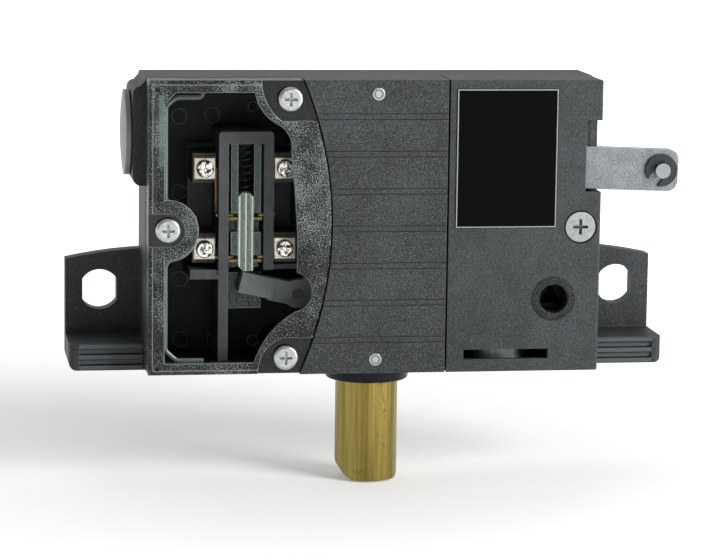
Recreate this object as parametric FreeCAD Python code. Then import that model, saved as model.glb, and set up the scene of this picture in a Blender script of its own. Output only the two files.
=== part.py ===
import FreeCAD, Part
import math
import os

# Tongue interlock switch for a guarded door: a plastic housing with two ears, a brass locking bolt
# that leaves the bottom, a steel lever at the right that lifts it, and a clear-covered contact set.
# Frame: X to the right, Y into the wall, Z up, millimetres.
# Origin: on the mounting plane, midway between the two ear holes.

# ------------------------------------------------------------------ driving sizes
# housing
body_width = 144.0
body_height = 93.0
body_bottom = -22.8
body_depth = 38.0
wall = 2.5
back_floor = 3.0
cover_depth = 17.5
contact_cover_depth = 10.6
corner_round = 0.8

# ears
hole_from_side = 13.0
ear_reach = 24.0
tab_thickness = 6.0
tab_top = 13.2
tab_top_outer = 10.0
hole_diameter = 13.0
hole_width = 11.0
ear_block_top = -14.3
ear_block_depth = 26.4
ear_block_wall = 2.2
ear_ribs = 5
ear_slot_depth = 0.9
ear_slot_end = 3.2

# contact window cover
arc_radius = 116.0
arc_reach = -14.1
arc_above_middle = 0.8
cover_plate = 2.6
window_recess = 0.5
screw_from_arc = 6.6
screw_from_top = 6.0
screw_from_bottom = 5.4
screw_from_left = 6.2
screw_under_middle = 0.5
screw_pocket_depth = 1.6

# ribbed and lever covers
cover_joint_x = 22.6
cover_joint_gap = 0.6
band_height = 2.1
band_margin = 11.1
band_drop = 0.4
bands = 7
band_depth = 0.5
rivet_radius = 2.05
rivet_length = 6.0
rivet_inset = 4.4

# name plate
plate_width = 32.5
plate_height = 44.1
plate_from_joint = 2.4
plate_from_top = 2.8
plate_thickness = 0.3

# locking bolt and its guide
bolt_radius = 10.0
bolt_setback = 20.5
bolt_end = -59.5
bolt_travel = 18.0
bolt_head_room = 1.7
bolt_step = 0.2
bolt_bevel_height = 6.4
bolt_bevel_width = 4.4
bolt_round = 2.3
bolt_bore_radius = 6.2
bolt_bore_depth = 14.0
bolt_spring_radius = 4.6
bolt_spring_wire = 0.6
spring_guide_radius = 3.0
spring_guide_head = 1.6
collar_radius = 13.3
collar_drop = 4.2
collar_flange = 1.2

# actuating lever
lever_pivot_inset = 12.0
lever_pin_reach = 20.4
lever_pin_from_top = 29.3
lever_tilt = 2.0
lever_width = 13.6
lever_thickness = 2.4
lever_front = 5.0
lever_tip = 5.8
lever_swing = 32.0
lever_inner = 21.0
lever_end_pin_radius = 2.45
lever_end_pin_length = 9.0
drive_pin_radius = 3.0
pivot_radius = 3.0
notch_inset = 5.2
notch_from_top = 12.8
lever_boss_radius = 8.6
lever_nose_radius = 5.4

# lift rocker between lever and bolt
lift_from_bolt = 28.0
lift_arm = 20.5
lift_plate = 6.0
lift_half = 3.0
lift_pivot_radius = 2.5

# release shaft and adjusting drum
release_inset = 14.8
release_from_bottom = 23.2
release_ring_radius = 7.0
release_hole_radius = 4.5
release_shaft_radius = 6.5
release_arm_ring = 2.6
release_arm_drop = 4.6
release_key_radius = 4.2
drum_inset = 30.0
drum_radius = 11.0
drum_height = 7.0
drum_axle_radius = 2.0
drum_axle_seat = 1.7
slot_inset = 43.7
slot_width = 27.4
slot_from_bottom = 3.9
slot_height = 3.2

# lever cover screw, M5 countersunk
side_screw_inset = 6.5
side_screw_drop = 0.3
side_screw_head = 4.85
side_screw_radius = 2.5

# contact cover screws, M4 pan head
pan_head_radius = 4.0
pan_head_height = 2.4
pan_screw_radius = 2.0
pan_screw_length = 18.0

# contact set
contact_shift = 2.85
contact_front = 11.0
contact_depth = 5.0
rocker_from_arc = 9.3
rocker_from_bottom = 23.8
rocker_tilt = 12.4
rocker_swing = 12.0
rocker_half = 3.3
rocker_hub = 4.6
rocker_head_near = 8.1
rocker_head_far = 18.8
rocker_pin_radius = 1.5
follower_length = 18.0
follower_angle = 34.0
follower_nose = 2.2
plunger_width = 4.8
plunger_top = 33.5
plunger_drop = 3.3
guide_width = 2.3
rail_width = 3.1
arch_from_top = 17.2
arch_height = 3.9
block_bottom = 7.3
terminal_offset = 12.8
terminal_high = 41.0
terminal_low = 15.4
terminal_pad = 7.4
terminal_screw_radius = 1.5
terminal_head_radius = 2.75
terminal_head_height = 1.9
terminal_washer = 1.2
tongue_high = 26.0
tongue_low = 12.6
strip = 0.8
bridge_height = 1.0
plunger_spring_radius = 1.7
plunger_spring_wire = 0.3

# cable entry on the left wall
entry_from_top = 18.5
entry_boss_rise = 4.0
entry_boss_height = 31.3
entry_boss_round = 3.0
entry_cap_radius = 13.6
entry_cap_rise = 1.4
entry_cap_dome = 1.0
entry_thread_radius = 10.0

entry_seal = 0.5

# window cover seal
seal_inset = 0.9
seal_width = 0.9
seal_height = 0.9

# clearances
joint_gap = 0.3
running = 0.06
seat = 0.05

# ------------------------------------------------------------------ places worked out from them
V = FreeCAD.Vector
half = body_width / 2
body_top = body_bottom + body_height
front = -body_depth
split = front + cover_depth
contact_split = front + contact_cover_depth
inner_front = front + wall
middle_z = body_bottom + body_height / 2
bolt_y = -bolt_setback
bolt_top = body_top - wall - bolt_travel - bolt_head_room
bolt_bore_floor = bolt_top - bolt_bore_depth
hole_x = half + hole_from_side
arc_x = arc_reach - arc_radius
arc_height = middle_z + arc_above_middle


def arc_at(z):
    """Left to right place of the window cover's arc at height z."""
    return arc_x + math.sqrt(arc_radius ** 2 - (z - arc_height) ** 2)


top_screw_z = body_top - screw_from_top
low_screw_z = body_bottom + screw_from_bottom
contact_screw_places = [(arc_at(top_screw_z) - screw_from_arc, top_screw_z),
                        (-half + screw_from_left, middle_z - screw_under_middle),
                        (arc_at(low_screw_z) - screw_from_arc, low_screw_z)]
band_centre = middle_z - band_drop
band_pitch = (body_height - 2 * band_margin) / (bands - 1)
plate_left = cover_joint_x + plate_from_joint
plate_top = body_top - plate_from_top
lever_pivot_x = half - lever_pivot_inset
lever_pin_x = half + lever_pin_reach
lever_pin_z = body_top - lever_pin_from_top
notch_left = half - notch_inset
notch_top = body_top - notch_from_top
lift_pivot_x = lift_from_bolt
release_x = half - release_inset
release_z = body_bottom + release_from_bottom
lower_notch_z = release_z - release_arm_drop
drum_x = half - drum_inset
slot_left = half - slot_inset
slot_bottom = body_bottom + slot_from_bottom
side_screw_x = half - side_screw_inset
side_screw_z = middle_z - side_screw_drop
contact_x = (arc_reach - half) / 2 + contact_shift
rocker_pivot_x = arc_reach - rocker_from_arc
rocker_pivot_z = body_bottom + rocker_from_bottom
arch_top = body_top - arch_from_top
terminal_levels = [terminal_high, terminal_low]
tongue_levels = [tongue_high, tongue_low]
entry_z = body_top - entry_from_top
post_radius = 4.6
nose_radius = 3.0
lever_pivot_z = lever_pin_z + (lever_pin_x - lever_pivot_x) * math.tan(math.radians(lever_tilt))
lever_y = front + lever_front
drive_angle = math.radians(lever_swing / 2)
drive_x = lever_pivot_x - lever_inner * math.cos(drive_angle)
drive_z = lever_pivot_z + lever_inner * math.sin(drive_angle)
lift_angle = math.asin(bolt_travel / 2 / lift_arm)
lift_reach = (lift_half + drive_pin_radius + joint_gap
              + (drive_x - lift_pivot_x) * math.sin(lift_angle)) / math.cos(lift_angle)
lift_pivot_z = drive_z - lift_reach
upper_notch_z = lift_pivot_z - lift_arm * math.sin(lift_angle)
notch_floor = 3.6
notch_half = nose_radius + joint_gap
neck = nose_radius - 0.9
release_arm_length = math.hypot(release_x - notch_floor - nose_radius - 0.8, release_arm_drop)
release_angle = math.asin(release_arm_drop / release_arm_length)
flange_low = body_bottom + wall
collar_top = lower_notch_z - notch_half - 2.0
guided_radius = bolt_radius - bolt_step
bolt_step_z = body_bottom - collar_drop - joint_gap
contact_y = front + contact_front
lift_y = bolt_y - lift_plate / 2
entry_y = contact_split / 2
rivet_levels = [body_top - rivet_inset, body_bottom + rivet_inset]
tilt_slope = math.tan(math.radians(rocker_tilt))
rocker_reach = rocker_pivot_x - contact_x
rocker_top = rocker_pivot_z + rocker_reach * tilt_slope + rocker_half / math.cos(math.radians(rocker_tilt))
plunger_low = rocker_top + joint_gap + (plunger_width / 2 - 1.0) * tilt_slope


def nose_at(lift):
    """Centre of the contact rocker's follower nose, seen from the bolt, when the bolt has risen by lift."""
    angle = math.radians(follower_angle + rocker_swing * lift / bolt_travel)
    return (rocker_pivot_x + follower_length * math.cos(angle),
            rocker_pivot_z + follower_length * math.sin(angle) - lift)


ramp_top = nose_at(0)
ramp_low = nose_at(bolt_travel)
ramp_slope = (ramp_top[0] - ramp_low[0]) / (ramp_top[1] - ramp_low[1])
ramp_offset = (follower_nose + joint_gap) * math.hypot(1, ramp_slope)


# ------------------------------------------------------------------ shapes used everywhere
def block(x0, x1, y0, y1, z0, z1):
    return Part.makeBox(x1 - x0, y1 - y0, z1 - z0, V(x0, y0, z0))


def rod_x(y, z, radius, x0, x1):
    return Part.makeCylinder(radius, x1 - x0, V(x0, y, z), V(1, 0, 0))


def rod_y(x, z, radius, y0, y1):
    return Part.makeCylinder(radius, y1 - y0, V(x, y0, z), V(0, 1, 0))


def rod_z(x, y, radius, z0, z1):
    return Part.makeCylinder(radius, z1 - z0, V(x, y, z0), V(0, 0, 1))


def plate(points, y0, y1):
    """Flat piece with an X-Z outline; a three-item entry is an arc through a middle point to an end."""
    edges = []
    last = V(points[0][0], y0, points[0][1])
    for item in points[1:] + [points[0]]:
        if len(item) == 4:
            middle = V(item[0], y0, item[1])
            end = V(item[2], y0, item[3])
            edges.append(Part.Arc(last, middle, end).toShape())
        else:
            end = V(item[0], y0, item[1])
            if (end - last).Length < 1e-6:
                continue
            edges.append(Part.LineSegment(last, end).toShape())
        last = end
    return Part.Face(Part.Wire(edges)).extrude(V(0, y1 - y0, 0))


def bar(x0, z0, r0, x1, z1, r1, y0, y1):
    """Flat link: two round ends joined by a straight-sided web, tangent to both."""
    length = math.hypot(x1 - x0, z1 - z0)
    along = math.atan2(z1 - z0, x1 - x0)
    lean = math.acos((r0 - r1) / length)
    corners = []
    for x, z, r, side in ((x0, z0, r0, 1), (x1, z1, r1, 1), (x1, z1, r1, -1), (x0, z0, r0, -1)):
        corners.append((x + r * math.cos(along + side * lean), z + r * math.sin(along + side * lean)))
    web = plate(corners, y0, y1)
    return web.fuse([rod_y(x0, z0, r0, y0, y1), rod_y(x1, z1, r1, y0, y1)]).removeSplitter()


def turned(shape, x, z, degrees):
    """Copy turned counter-clockwise, as seen from the front, about an axis along Y."""
    copy = shape.copy()
    copy.rotate(V(x, 0, z), V(0, -1, 0), degrees)
    return copy


def rounded(shape, radius, wanted):
    return shape.makeFillet(radius, [edge for edge in shape.Edges if wanted(edge)])


def runs_along(edge, axis):
    if not isinstance(edge.Curve, Part.Line):
        return False
    return abs(edge.Curve.Direction.dot(axis)) > 0.999


def contact_zone(y0, y1, inset=0.0):
    """Region under the window cover: a box whose right side is one large arc."""
    box = block(-half + inset, 0, y0, y1, body_bottom + inset, body_top - inset)
    return box.common(rod_y(arc_x, arc_height, arc_radius - inset, y0, y1))


def spring(x, y, z0, z1, radius, wire, turns):
    """Compression spring standing along Z between the planes z0 and z1."""
    height = z1 - z0 - 2 * wire
    helix = Part.makeHelix(height / turns, height, radius)
    helix.translate(V(x, y, z0 + wire))
    section = Part.Wire(Part.makeCircle(wire, V(x + radius, y, z0 + wire), V(0, 1, 0)))
    return Part.Wire(helix.Edges).makePipeShell([section], True, True)


def cross_recess(x, y, z, size, depth):
    """Cross-shaped driver recess, sunk along +Y from the face at y."""
    arms = [block(x - size, x + size, y, y + depth, z - size / 5, z + size / 5),
            block(x - size / 5, x + size / 5, y, y + depth, z - size, z + size)]
    return arms[0].fuse(arms[1])


os.makedirs("parts", exist_ok=True)


def save(name, *solids):
    shape = solids[0] if len(solids) == 1 else Part.makeCompound(list(solids))
    shape.exportStep("parts/" + name + ".step")


# ------------------------------------------------------------------ housing_base
# Open tray: back, four walls, an arc-shaped partition that closes the contact room, and the two ears.
tray = block(-half, half, split, 0, body_bottom, body_top).fuse(contact_zone(contact_split, split))
contact_room = contact_zone(contact_split, -back_floor, wall)
drive_room = block(-half + wall, half - wall, split, -back_floor, body_bottom + wall, body_top - wall)
drive_room = drive_room.cut(contact_zone(split, -back_floor))
tray = tray.cut(contact_room).cut(drive_room)

for side in (-1, 1):
    # thin mounting tab with an arched top edge
    tab_end = half + ear_reach
    bow = (half + tab_end) / 2
    outline = [(side * (half - wall), ear_block_top - wall), (side * tab_end, ear_block_top - wall),
               (side * tab_end, tab_top_outer),
               (side * bow, (tab_top + tab_top_outer) / 2 + 0.5, side * half, tab_top),
               (side * (half - wall), tab_top)]
    tab = plate(outline, -tab_thickness, 0)
    # deep foot block below it, hollow from the back, with horizontal ribs on its front
    low, high = sorted((side * (half - wall / 2), side * tab_end))
    foot = block(low, high, -ear_block_depth, 0, body_bottom, ear_block_top)
    foot = rounded(foot, 2.4, lambda e: abs(e.CenterOfMass.x - side * tab_end) < 0.01
                   and (runs_along(e, V(0, 1, 0)) and e.CenterOfMass.z < ear_block_top - 1
                        or runs_along(e, V(0, 0, 1)) and e.CenterOfMass.y < -1))
    inner_low, inner_high = sorted((side * (half + ear_block_wall), side * (tab_end - ear_block_wall)))
    if side > 0:
        foot = foot.cut(block(0, half + seat, front, split, body_bottom - 1, ear_block_top + 1))
    foot = foot.cut(block(inner_low, inner_high, ear_block_wall - ear_block_depth, 0,
                          body_bottom + ear_block_wall, ear_block_top - ear_block_wall))
    rib_pitch = (ear_block_top - body_bottom) / ear_ribs
    for rib in range(1, ear_ribs, 2):
        z = body_bottom + rib * rib_pitch
        low, high = sorted((side * half, side * (tab_end - ear_slot_end)))
        foot = foot.cut(block(low, high, -ear_block_depth - 1, ear_slot_depth - ear_block_depth, z, z + rib_pitch))
    hole = rod_y(side * hole_x, 0, hole_diameter / 2, -tab_thickness - 1, 1)
    hole = hole.common(block(side * hole_x - hole_width / 2, side * hole_x + hole_width / 2,
                             -tab_thickness - 1, 1, -hole_diameter, hole_diameter))
    tray = tray.fuse(tab).fuse(foot).cut(hole)

# raised pad for the cable entry, flush with the tray's left front edge
entry_low = entry_z - entry_boss_height / 2
entry_pad = block(-half - entry_boss_rise, -half + 0.5, contact_split, 0, entry_low,
                  entry_low + entry_boss_height)
entry_pad = rounded(entry_pad, 2.5, lambda e: runs_along(e, V(0, 1, 0)) and e.CenterOfMass.x < -half - 1)
tray = tray.fuse(entry_pad)
pad_top = entry_low + entry_boss_height
hollow_round = block(-half - entry_boss_round, -half + 0.5, contact_split, 0, pad_top - 0.5,
                     pad_top + entry_boss_round)
hollow_round = hollow_round.cut(rod_y(-half - entry_boss_round, pad_top + entry_boss_round, entry_boss_round,
                                      contact_split - 1, 1))
tray = tray.fuse(hollow_round.common(block(-half - entry_boss_rise + 2.5, 0, front, 1, body_bottom, body_top)))
tray = tray.cut(rod_x(entry_y, entry_z, entry_thread_radius + seat, -half - entry_boss_rise - 1,
                      -half + wall + 1))

# screw posts under the window cover, and the post under the lever cover screw
for x, z in contact_screw_places:
    post = rod_y(x, z, post_radius, contact_split, -back_floor + 0.5)
    tray = tray.fuse(post.common(block(-half, 0, contact_split, 0, body_bottom, body_top)))
    tray = tray.cut(rod_y(x, z, pan_screw_radius + seat, contact_split - 1, contact_split + 14))
tray = tray.fuse(rod_y(side_screw_x, side_screw_z, post_radius, split, -back_floor + 0.5))
tray = tray.cut(rod_y(side_screw_x, side_screw_z, side_screw_radius + seat, split - 1, split + 12))

# posts for the four pivots in the drive room and the contact room
pivot_posts = [
    (lever_pivot_x, lever_pivot_z, 6.0, lever_y + lever_thickness + joint_gap, pivot_radius),
    (lift_pivot_x, lift_pivot_z, 5.0, lift_y + lift_plate + joint_gap, lift_pivot_radius),
    (rocker_pivot_x, rocker_pivot_z, 3.2, contact_y + contact_depth + joint_gap, rocker_pin_radius),
]
for x, z, radius, top, pin in pivot_posts:
    tray = tray.fuse(rod_y(x, z, radius, top, -back_floor + 0.5))
    tray = tray.cut(rod_y(x, z, pin + seat, top - 1, -back_floor))

# saddle rib that guides the bolt between its two notches
saddle_low = (upper_notch_z + lower_notch_z + bolt_travel) / 2 - 1.5
saddle = block(-bolt_radius - 6, bolt_radius + 6, split, -back_floor + 0.5, saddle_low, saddle_low + 3)
tray = tray.fuse(saddle).cut(rod_z(0, bolt_y, guided_radius + running, saddle_low - 1, saddle_low + 4))

# way through the partition for the contact rocker, and the collar's half-round seat
tray = tray.cut(block(arc_reach - 14, arc_reach + 2, contact_split - 1, contact_y + contact_depth + 1.5,
                      rocker_pivot_z - rocker_hub - 2, ramp_top[1] + follower_nose + 5))
tray = tray.cut(rod_z(0, bolt_y, collar_radius + seat, body_bottom - 1, body_bottom + wall + 1))
axle_seat = rod_z(drum_x, bolt_y, drum_axle_radius + seat, body_bottom + wall - drum_axle_seat, 0)
tray = tray.cut(axle_seat)
save("housing_base", tray.removeSplitter())

# ------------------------------------------------------------------ contact_cover
# Clear cap: front plate, rim walls and three screw columns; the window is sunk a little into the plate.
cap = contact_zone(front, contact_split, joint_gap / 2)
cap = rounded(cap, corner_round, lambda e: abs(e.CenterOfMass.y - front) < 0.01)
cap = cap.cut(contact_zone(front + cover_plate, contact_split, wall))
for x, z in contact_screw_places:
    column = rod_y(x, z, post_radius + 0.8, front + cover_plate - 0.2, contact_split)
    cap = cap.fuse(column.common(contact_zone(front, contact_split, joint_gap / 2)))
seal_path = contact_zone(contact_split - seal_height, contact_split, seal_inset)
cap = cap.cut(seal_path.cut(contact_zone(contact_split - seal_height, contact_split,
                                         seal_inset + seal_width)))

window_left = -half + 5.1
window_top = body_top - 3.9
window_low = body_bottom + 3.8
(top_x, top_z), (screw_x, screw_z), (low_x, low_z) = contact_screw_places
scoop = 9.5
scoop_x = math.sqrt(scoop ** 2 - (window_left - screw_x) ** 2)
window = [(window_left, window_low), (window_left, screw_z - scoop_x),
          (screw_x + scoop, screw_z, window_left, screw_z + scoop_x),
          (window_left, window_top - 3.5), (window_left + 3.5, window_top),
          (top_x - 11.1, window_top), (top_x - 8.6, top_z - 3.9, top_x - 3.7, top_z - 8.0),
          (top_x - 0.7, top_z - 10.8, top_x + 0.4, top_z - 16.2),
          (arc_at(33.5) - 11.5, 33.5, arc_reach - 11.0, 20.0), (rocker_pivot_x - 1.8, rocker_pivot_z + 8.7),
          (rocker_pivot_x + 3.0, rocker_pivot_z + 2.6, rocker_pivot_x - 2.2, rocker_pivot_z - 3.9),
          (low_x - 5.1, low_z + 7.8, low_x - 10.1, window_low)]
cap = cap.cut(plate(window, front - 1, front + window_recess))
# each screw stands in its own flat pocket, open to the cover's edge
pockets = [[(top_x - 9.0, body_top + 1), (top_x - 7.2, top_z - 1.6, top_x - 2.6, top_z - 7.0),
            (0, top_z - 6.6), (0, body_top + 1)],
           [(low_x - 8.6, body_bottom - 1), (low_x - 6.1, low_z + 2.8, low_x - 0.9, low_z + 6.3),
            (0, low_z + 6.0), (0, body_bottom - 1)],
           [(-half - 1, screw_z - 5.2), (screw_x, screw_z - 5.2),
            (screw_x + 5.2, screw_z, screw_x, screw_z + 5.2), (-half - 1, screw_z + 5.2)]]
for outline in pockets:
    cap = cap.cut(plate(outline, front - 1, front + screw_pocket_depth))
for x, z in contact_screw_places:
    cap = cap.cut(rod_y(x, z, pan_screw_radius + 0.25, front, contact_split + 1))
for z in (body_top - 3.0, body_bottom + 2.4):
    cap = cap.cut(rod_y(-half + 2.8, z, 0.9, front - 1, front + 1.8))
save("contact_cover", cap.removeSplitter())

# ------------------------------------------------------------------ contact_cover_seal
# Round-the-rim seal cord lying in the cover's groove and pressed on the tray's edge.
seal = contact_zone(contact_split - seal_height, contact_split, seal_inset + seat)
seal = seal.cut(contact_zone(contact_split - seal_height, contact_split, seal_inset + seal_width - seat))
save("contact_cover_seal", seal)

# ------------------------------------------------------------------ contact_cover_screws
# Three pan-head screws with cross recesses, one group of separate solids.
screws = []
for x, z in contact_screw_places:
    under = front + screw_pocket_depth
    head = rod_y(x, z, pan_head_radius, under - pan_head_height, under)
    head = rounded(head, 1.1, lambda e: abs(e.CenterOfMass.y - (under - pan_head_height)) < 0.01)
    shank = rod_y(x, z, pan_screw_radius, under, under + pan_screw_length)
    recess = cross_recess(x, under - pan_head_height - 0.1, z, 2.0, 1.5)
    screws.append(head.fuse(shank).cut(recess))
save("contact_cover_screws", *screws)

# ------------------------------------------------------------------ ribbed_cover
# Middle cover over the bolt: arc-shaped left edge beside the window cover, seven raised bands.
middle = block(arc_reach - 14, cover_joint_x - cover_joint_gap / 2, front, split, body_bottom, body_top)
middle = middle.cut(contact_zone(front, contact_split, -joint_gap / 2))
middle = middle.cut(contact_zone(contact_split - 1, split, -joint_gap / 2))
hollow = block(-half, half, inner_front, split + 1, body_bottom + wall, body_top - wall)
middle = middle.cut(hollow)
for band in range(bands):
    z = band_centre + (band - (bands - 1) / 2) * band_pitch - band_height / 2
    groove = block(-half, half, front - 1, front + band_depth, z, z + band_height)
    proud = block(-half, half, front - 1, front + 2 * band_depth, z + 0.3, z + band_height - 0.3)
    middle = middle.cut(groove.cut(proud))
for z in rivet_levels:
    boss = rod_y(0, z, rivet_radius + 1.8, inner_front - 0.5, front + rivet_length)
    boss = boss.common(block(-9, 9, front, split, body_bottom + 0.5, body_top - 0.5))
    middle = middle.fuse(boss)
    middle = middle.cut(rod_y(0, z, rivet_radius + seat, front - 1, split))
middle = middle.cut(rod_z(0, bolt_y, collar_radius + seat, body_bottom - 1, body_bottom + wall + 1))
middle = middle.cut(rod_z(0, bolt_y, collar_radius + seat, body_bottom - 1, collar_top + 1))
middle = middle.cut(rod_z(0, bolt_y, collar_radius + collar_flange + seat, flange_low, flange_low + 3 + seat))
save("ribbed_cover", middle.removeSplitter())

# ------------------------------------------------------------------ ribbed_cover_rivets
# Two small plated pins on the bolt's centre line; the lower one also stops the collar turning.
rivets = []
for z in rivet_levels:
    rivet = rod_y(0, z, rivet_radius, front - 0.3, front + rivet_length)
    rivet = rounded(rivet, 0.25, lambda e: abs(e.CenterOfMass.y - (front - 0.3)) < 0.01)
    rivets.append(rivet)
save("ribbed_cover_rivets", *rivets)

# ------------------------------------------------------------------ lever_cover
# Right cover: notch for the lever, window slot over the drum, hole for the release shaft.
right = block(cover_joint_x + cover_joint_gap / 2, half, front, split, body_bottom, body_top)
right = rounded(right, corner_round, lambda e: runs_along(e, V(0, 1, 0)) and e.CenterOfMass.x > half - 1
                or runs_along(e, V(0, 0, 1)) and e.CenterOfMass.x > half - 1 and e.CenterOfMass.y < split - 1)
right = right.cut(hollow.common(block(-half, half - wall, front, split + 1, body_bottom, body_top)))
lever_low = lever_pivot_z - math.tan(math.radians(lever_tilt)) * (half - lever_pivot_x)
lever_low -= lever_width / 2 / math.cos(math.radians(lever_tilt)) + joint_gap
notch_depth = lever_front + lever_thickness + joint_gap
right = right.cut(block(notch_left, half + 1, front - 1, front + notch_depth, lever_low, notch_top))
slot = block(slot_left, slot_left + slot_width, front - 1, inner_front + 1, slot_bottom,
             slot_bottom + slot_height)
right = right.cut(slot)
sleeve = rod_y(release_x, release_z, release_ring_radius + 1.6, inner_front - 0.5, front + 5)
right = right.fuse(sleeve).cut(rod_y(release_x, release_z, release_ring_radius + seat, front - 1, split))
column = rod_y(side_screw_x, side_screw_z, post_radius + 0.6, inner_front - 0.5, split)
right = right.fuse(column.common(block(0, half - 0.5, front, split, body_bottom, body_top)))
right = right.cut(rod_y(side_screw_x, side_screw_z, side_screw_radius + 0.25, front - 1, split + 1))
sink = Part.makeCone(side_screw_head + 0.35, side_screw_radius + 0.25, side_screw_head - side_screw_radius + 0.1,
                     V(side_screw_x, front, side_screw_z), V(0, 1, 0))
right = right.cut(sink)
right = right.cut(axle_seat)
save("lever_cover", right.removeSplitter())

# ------------------------------------------------------------------ lever_cover_screw
head_height = side_screw_head - side_screw_radius
head = Part.makeCone(side_screw_head, side_screw_radius, head_height,
                     V(side_screw_x, front + 0.1, side_screw_z), V(0, 1, 0))
shank = rod_y(side_screw_x, side_screw_z, side_screw_radius, front + 0.1 + head_height, split + 11)
side_screw = head.fuse(shank).cut(cross_recess(side_screw_x, front - 0.5, side_screw_z, 2.4, 2.2))
save("lever_cover_screw", side_screw)

# ------------------------------------------------------------------ name_plate
# Bare plate; its place is where a maker's data would be.
save("name_plate", block(plate_left, plate_left + plate_width, front - plate_thickness, front,
                         plate_top - plate_height, plate_top))

# ------------------------------------------------------------------ release_ring
ring = rod_y(release_x, release_z, release_ring_radius, front - 0.2, front + 5)
ring = ring.cut(rod_y(release_x, release_z, release_hole_radius, front - 1, front + 6))
ring = rounded(ring, 0.4, lambda e: abs(e.CenterOfMass.y - (front - 0.2)) < 0.01
               and abs(e.Curve.Radius - release_hole_radius) < 0.01)
save("release_ring", ring)

# ------------------------------------------------------------------ release_shaft and release_arm
# Key-operated shaft behind the ring; its arm reaches into the bolt's right-hand notch.
shaft_front = front + 5 + joint_gap
shaft_back = bolt_y + lift_plate / 2 + 1.0
shaft = rod_y(release_x, release_z, release_shaft_radius, shaft_front, shaft_back)
key = []
for corner in range(3):
    angle = math.radians(90 + 120 * corner)
    key.append((release_x + release_key_radius * math.cos(angle),
                release_z + release_key_radius * math.sin(angle)))
shaft = shaft.cut(plate(key, shaft_front - 1, shaft_front + 8))
shaft = shaft.cut(rod_y(release_x, release_z, pivot_radius + running, shaft_back - 8, shaft_back + 1))
save("release_shaft", shaft)

nose_x = release_x - release_arm_length * math.cos(release_angle)
release_arm = bar(release_x, release_z, release_shaft_radius + release_arm_ring, nose_x, lower_notch_z,
                  neck - 0.6, lift_y, lift_y + lift_plate)
release_arm = release_arm.fuse(rod_y(nose_x, lower_notch_z, nose_radius, lift_y, lift_y + lift_plate))
release_arm = release_arm.cut(rod_y(release_x, release_z, release_shaft_radius + seat, lift_y - 1, 0))
save("release_arm", release_arm)

spigot = rod_y(release_x, release_z, pivot_radius, shaft_back - 7, -back_floor)
spigot = spigot.fuse(rod_y(release_x, release_z, 6.5, shaft_back + joint_gap, -back_floor))
save("release_spigot", spigot)

# ------------------------------------------------------------------ adjusting_drum and drum_pin
drum_low = body_bottom + wall + joint_gap
drum = rod_z(drum_x, bolt_y, drum_radius, drum_low, drum_low + drum_height)
drum = rounded(drum, 1.2, lambda e: isinstance(e.Curve, Part.Circle) and e.CenterOfMass.z > drum_low + 1)
peg_x = drum_x + drum_radius - 3.5
drum = drum.fuse(rod_z(peg_x, bolt_y, 1.6, drum_low + drum_height - 1, drum_low + drum_height + 1.8))
drum = drum.cut(rod_z(drum_x, bolt_y, drum_axle_radius + running, drum_low - 1, drum_low + drum_height + 3))
save("adjusting_drum", drum)
axle = rod_z(drum_x, bolt_y, drum_axle_radius, body_bottom + wall - drum_axle_seat,
             drum_low + drum_height + 1.2)
save("drum_axle", axle)

# ------------------------------------------------------------------ locking_bolt
# Brass bar with a long curved bevel on its striking side, two milled notches, a spring bore and,
# on the left, a long shallow ramp that works the contact rocker.
low_left = -bolt_radius + bolt_bevel_width
profile = [(-bolt_radius - 1, bolt_top + 1), (-bolt_radius - 1, bolt_end + bolt_bevel_height),
           (-bolt_radius, bolt_end + bolt_bevel_height),
           (-bolt_radius + 0.3 * bolt_bevel_width, bolt_end + 0.42 * bolt_bevel_height, low_left, bolt_end),
           (bolt_radius - bolt_round, bolt_end),
           (bolt_radius - 0.3 * bolt_round, bolt_end + 0.3 * bolt_round,
            bolt_radius, bolt_end + bolt_round),
           (bolt_radius + 1, bolt_end + bolt_round), (bolt_radius + 1, bolt_top + 1)]
bolt = rod_z(0, bolt_y, bolt_radius, bolt_end - 1, bolt_step_z)
bolt = bolt.fuse(rod_z(0, bolt_y, guided_radius, bolt_end, bolt_top))
bolt = bolt.common(plate(profile, bolt_y - bolt_radius - 1, bolt_y + bolt_radius + 1))
bolt = bolt.cut(rod_z(0, bolt_y, bolt_bore_radius, bolt_bore_floor, bolt_top + 1))
for z in (upper_notch_z, lower_notch_z):
    bolt = bolt.cut(block(notch_floor, bolt_radius + 1, bolt_y - bolt_radius - 1, bolt_y + bolt_radius + 1,
                          z - notch_half, z + notch_half))
ramp_head = ramp_top[1] + follower_nose + 1.2
ramp_head_x = ramp_top[0] + ramp_offset + (ramp_head - ramp_top[1]) * ramp_slope
ramp_foot = ramp_head - (ramp_head_x + bolt_radius + 0.5) / ramp_slope
bolt = bolt.cut(plate([(ramp_head_x, ramp_head), (-bolt_radius - 0.5, ramp_foot),
                       (-bolt_radius - 1, ramp_foot), (-bolt_radius - 1, ramp_head)],
                      bolt_y - bolt_radius - 1, bolt_y + bolt_radius + 1))
save("locking_bolt", bolt)

# ------------------------------------------------------------------ guide_collar
# Flanged guide bush, held between tray and cover; it stands a little below the housing.
collar = rod_z(0, bolt_y, collar_radius, body_bottom - collar_drop, collar_top)
collar = collar.fuse(rod_z(0, bolt_y, collar_radius + collar_flange, flange_low, flange_low + 3))
collar = collar.cut(rod_z(0, bolt_y, bolt_radius + running, body_bottom - collar_drop - 1, collar_top + 1))
collar = rounded(collar, 0.8, lambda e: isinstance(e.Curve, Part.Circle)
                 and abs(e.CenterOfMass.z - (body_bottom - collar_drop)) < 0.01)
collar = collar.cut(rod_y(0, rivet_levels[1], rivet_radius + seat, front, bolt_y - bolt_radius - 1))
save("guide_collar", collar)

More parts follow.
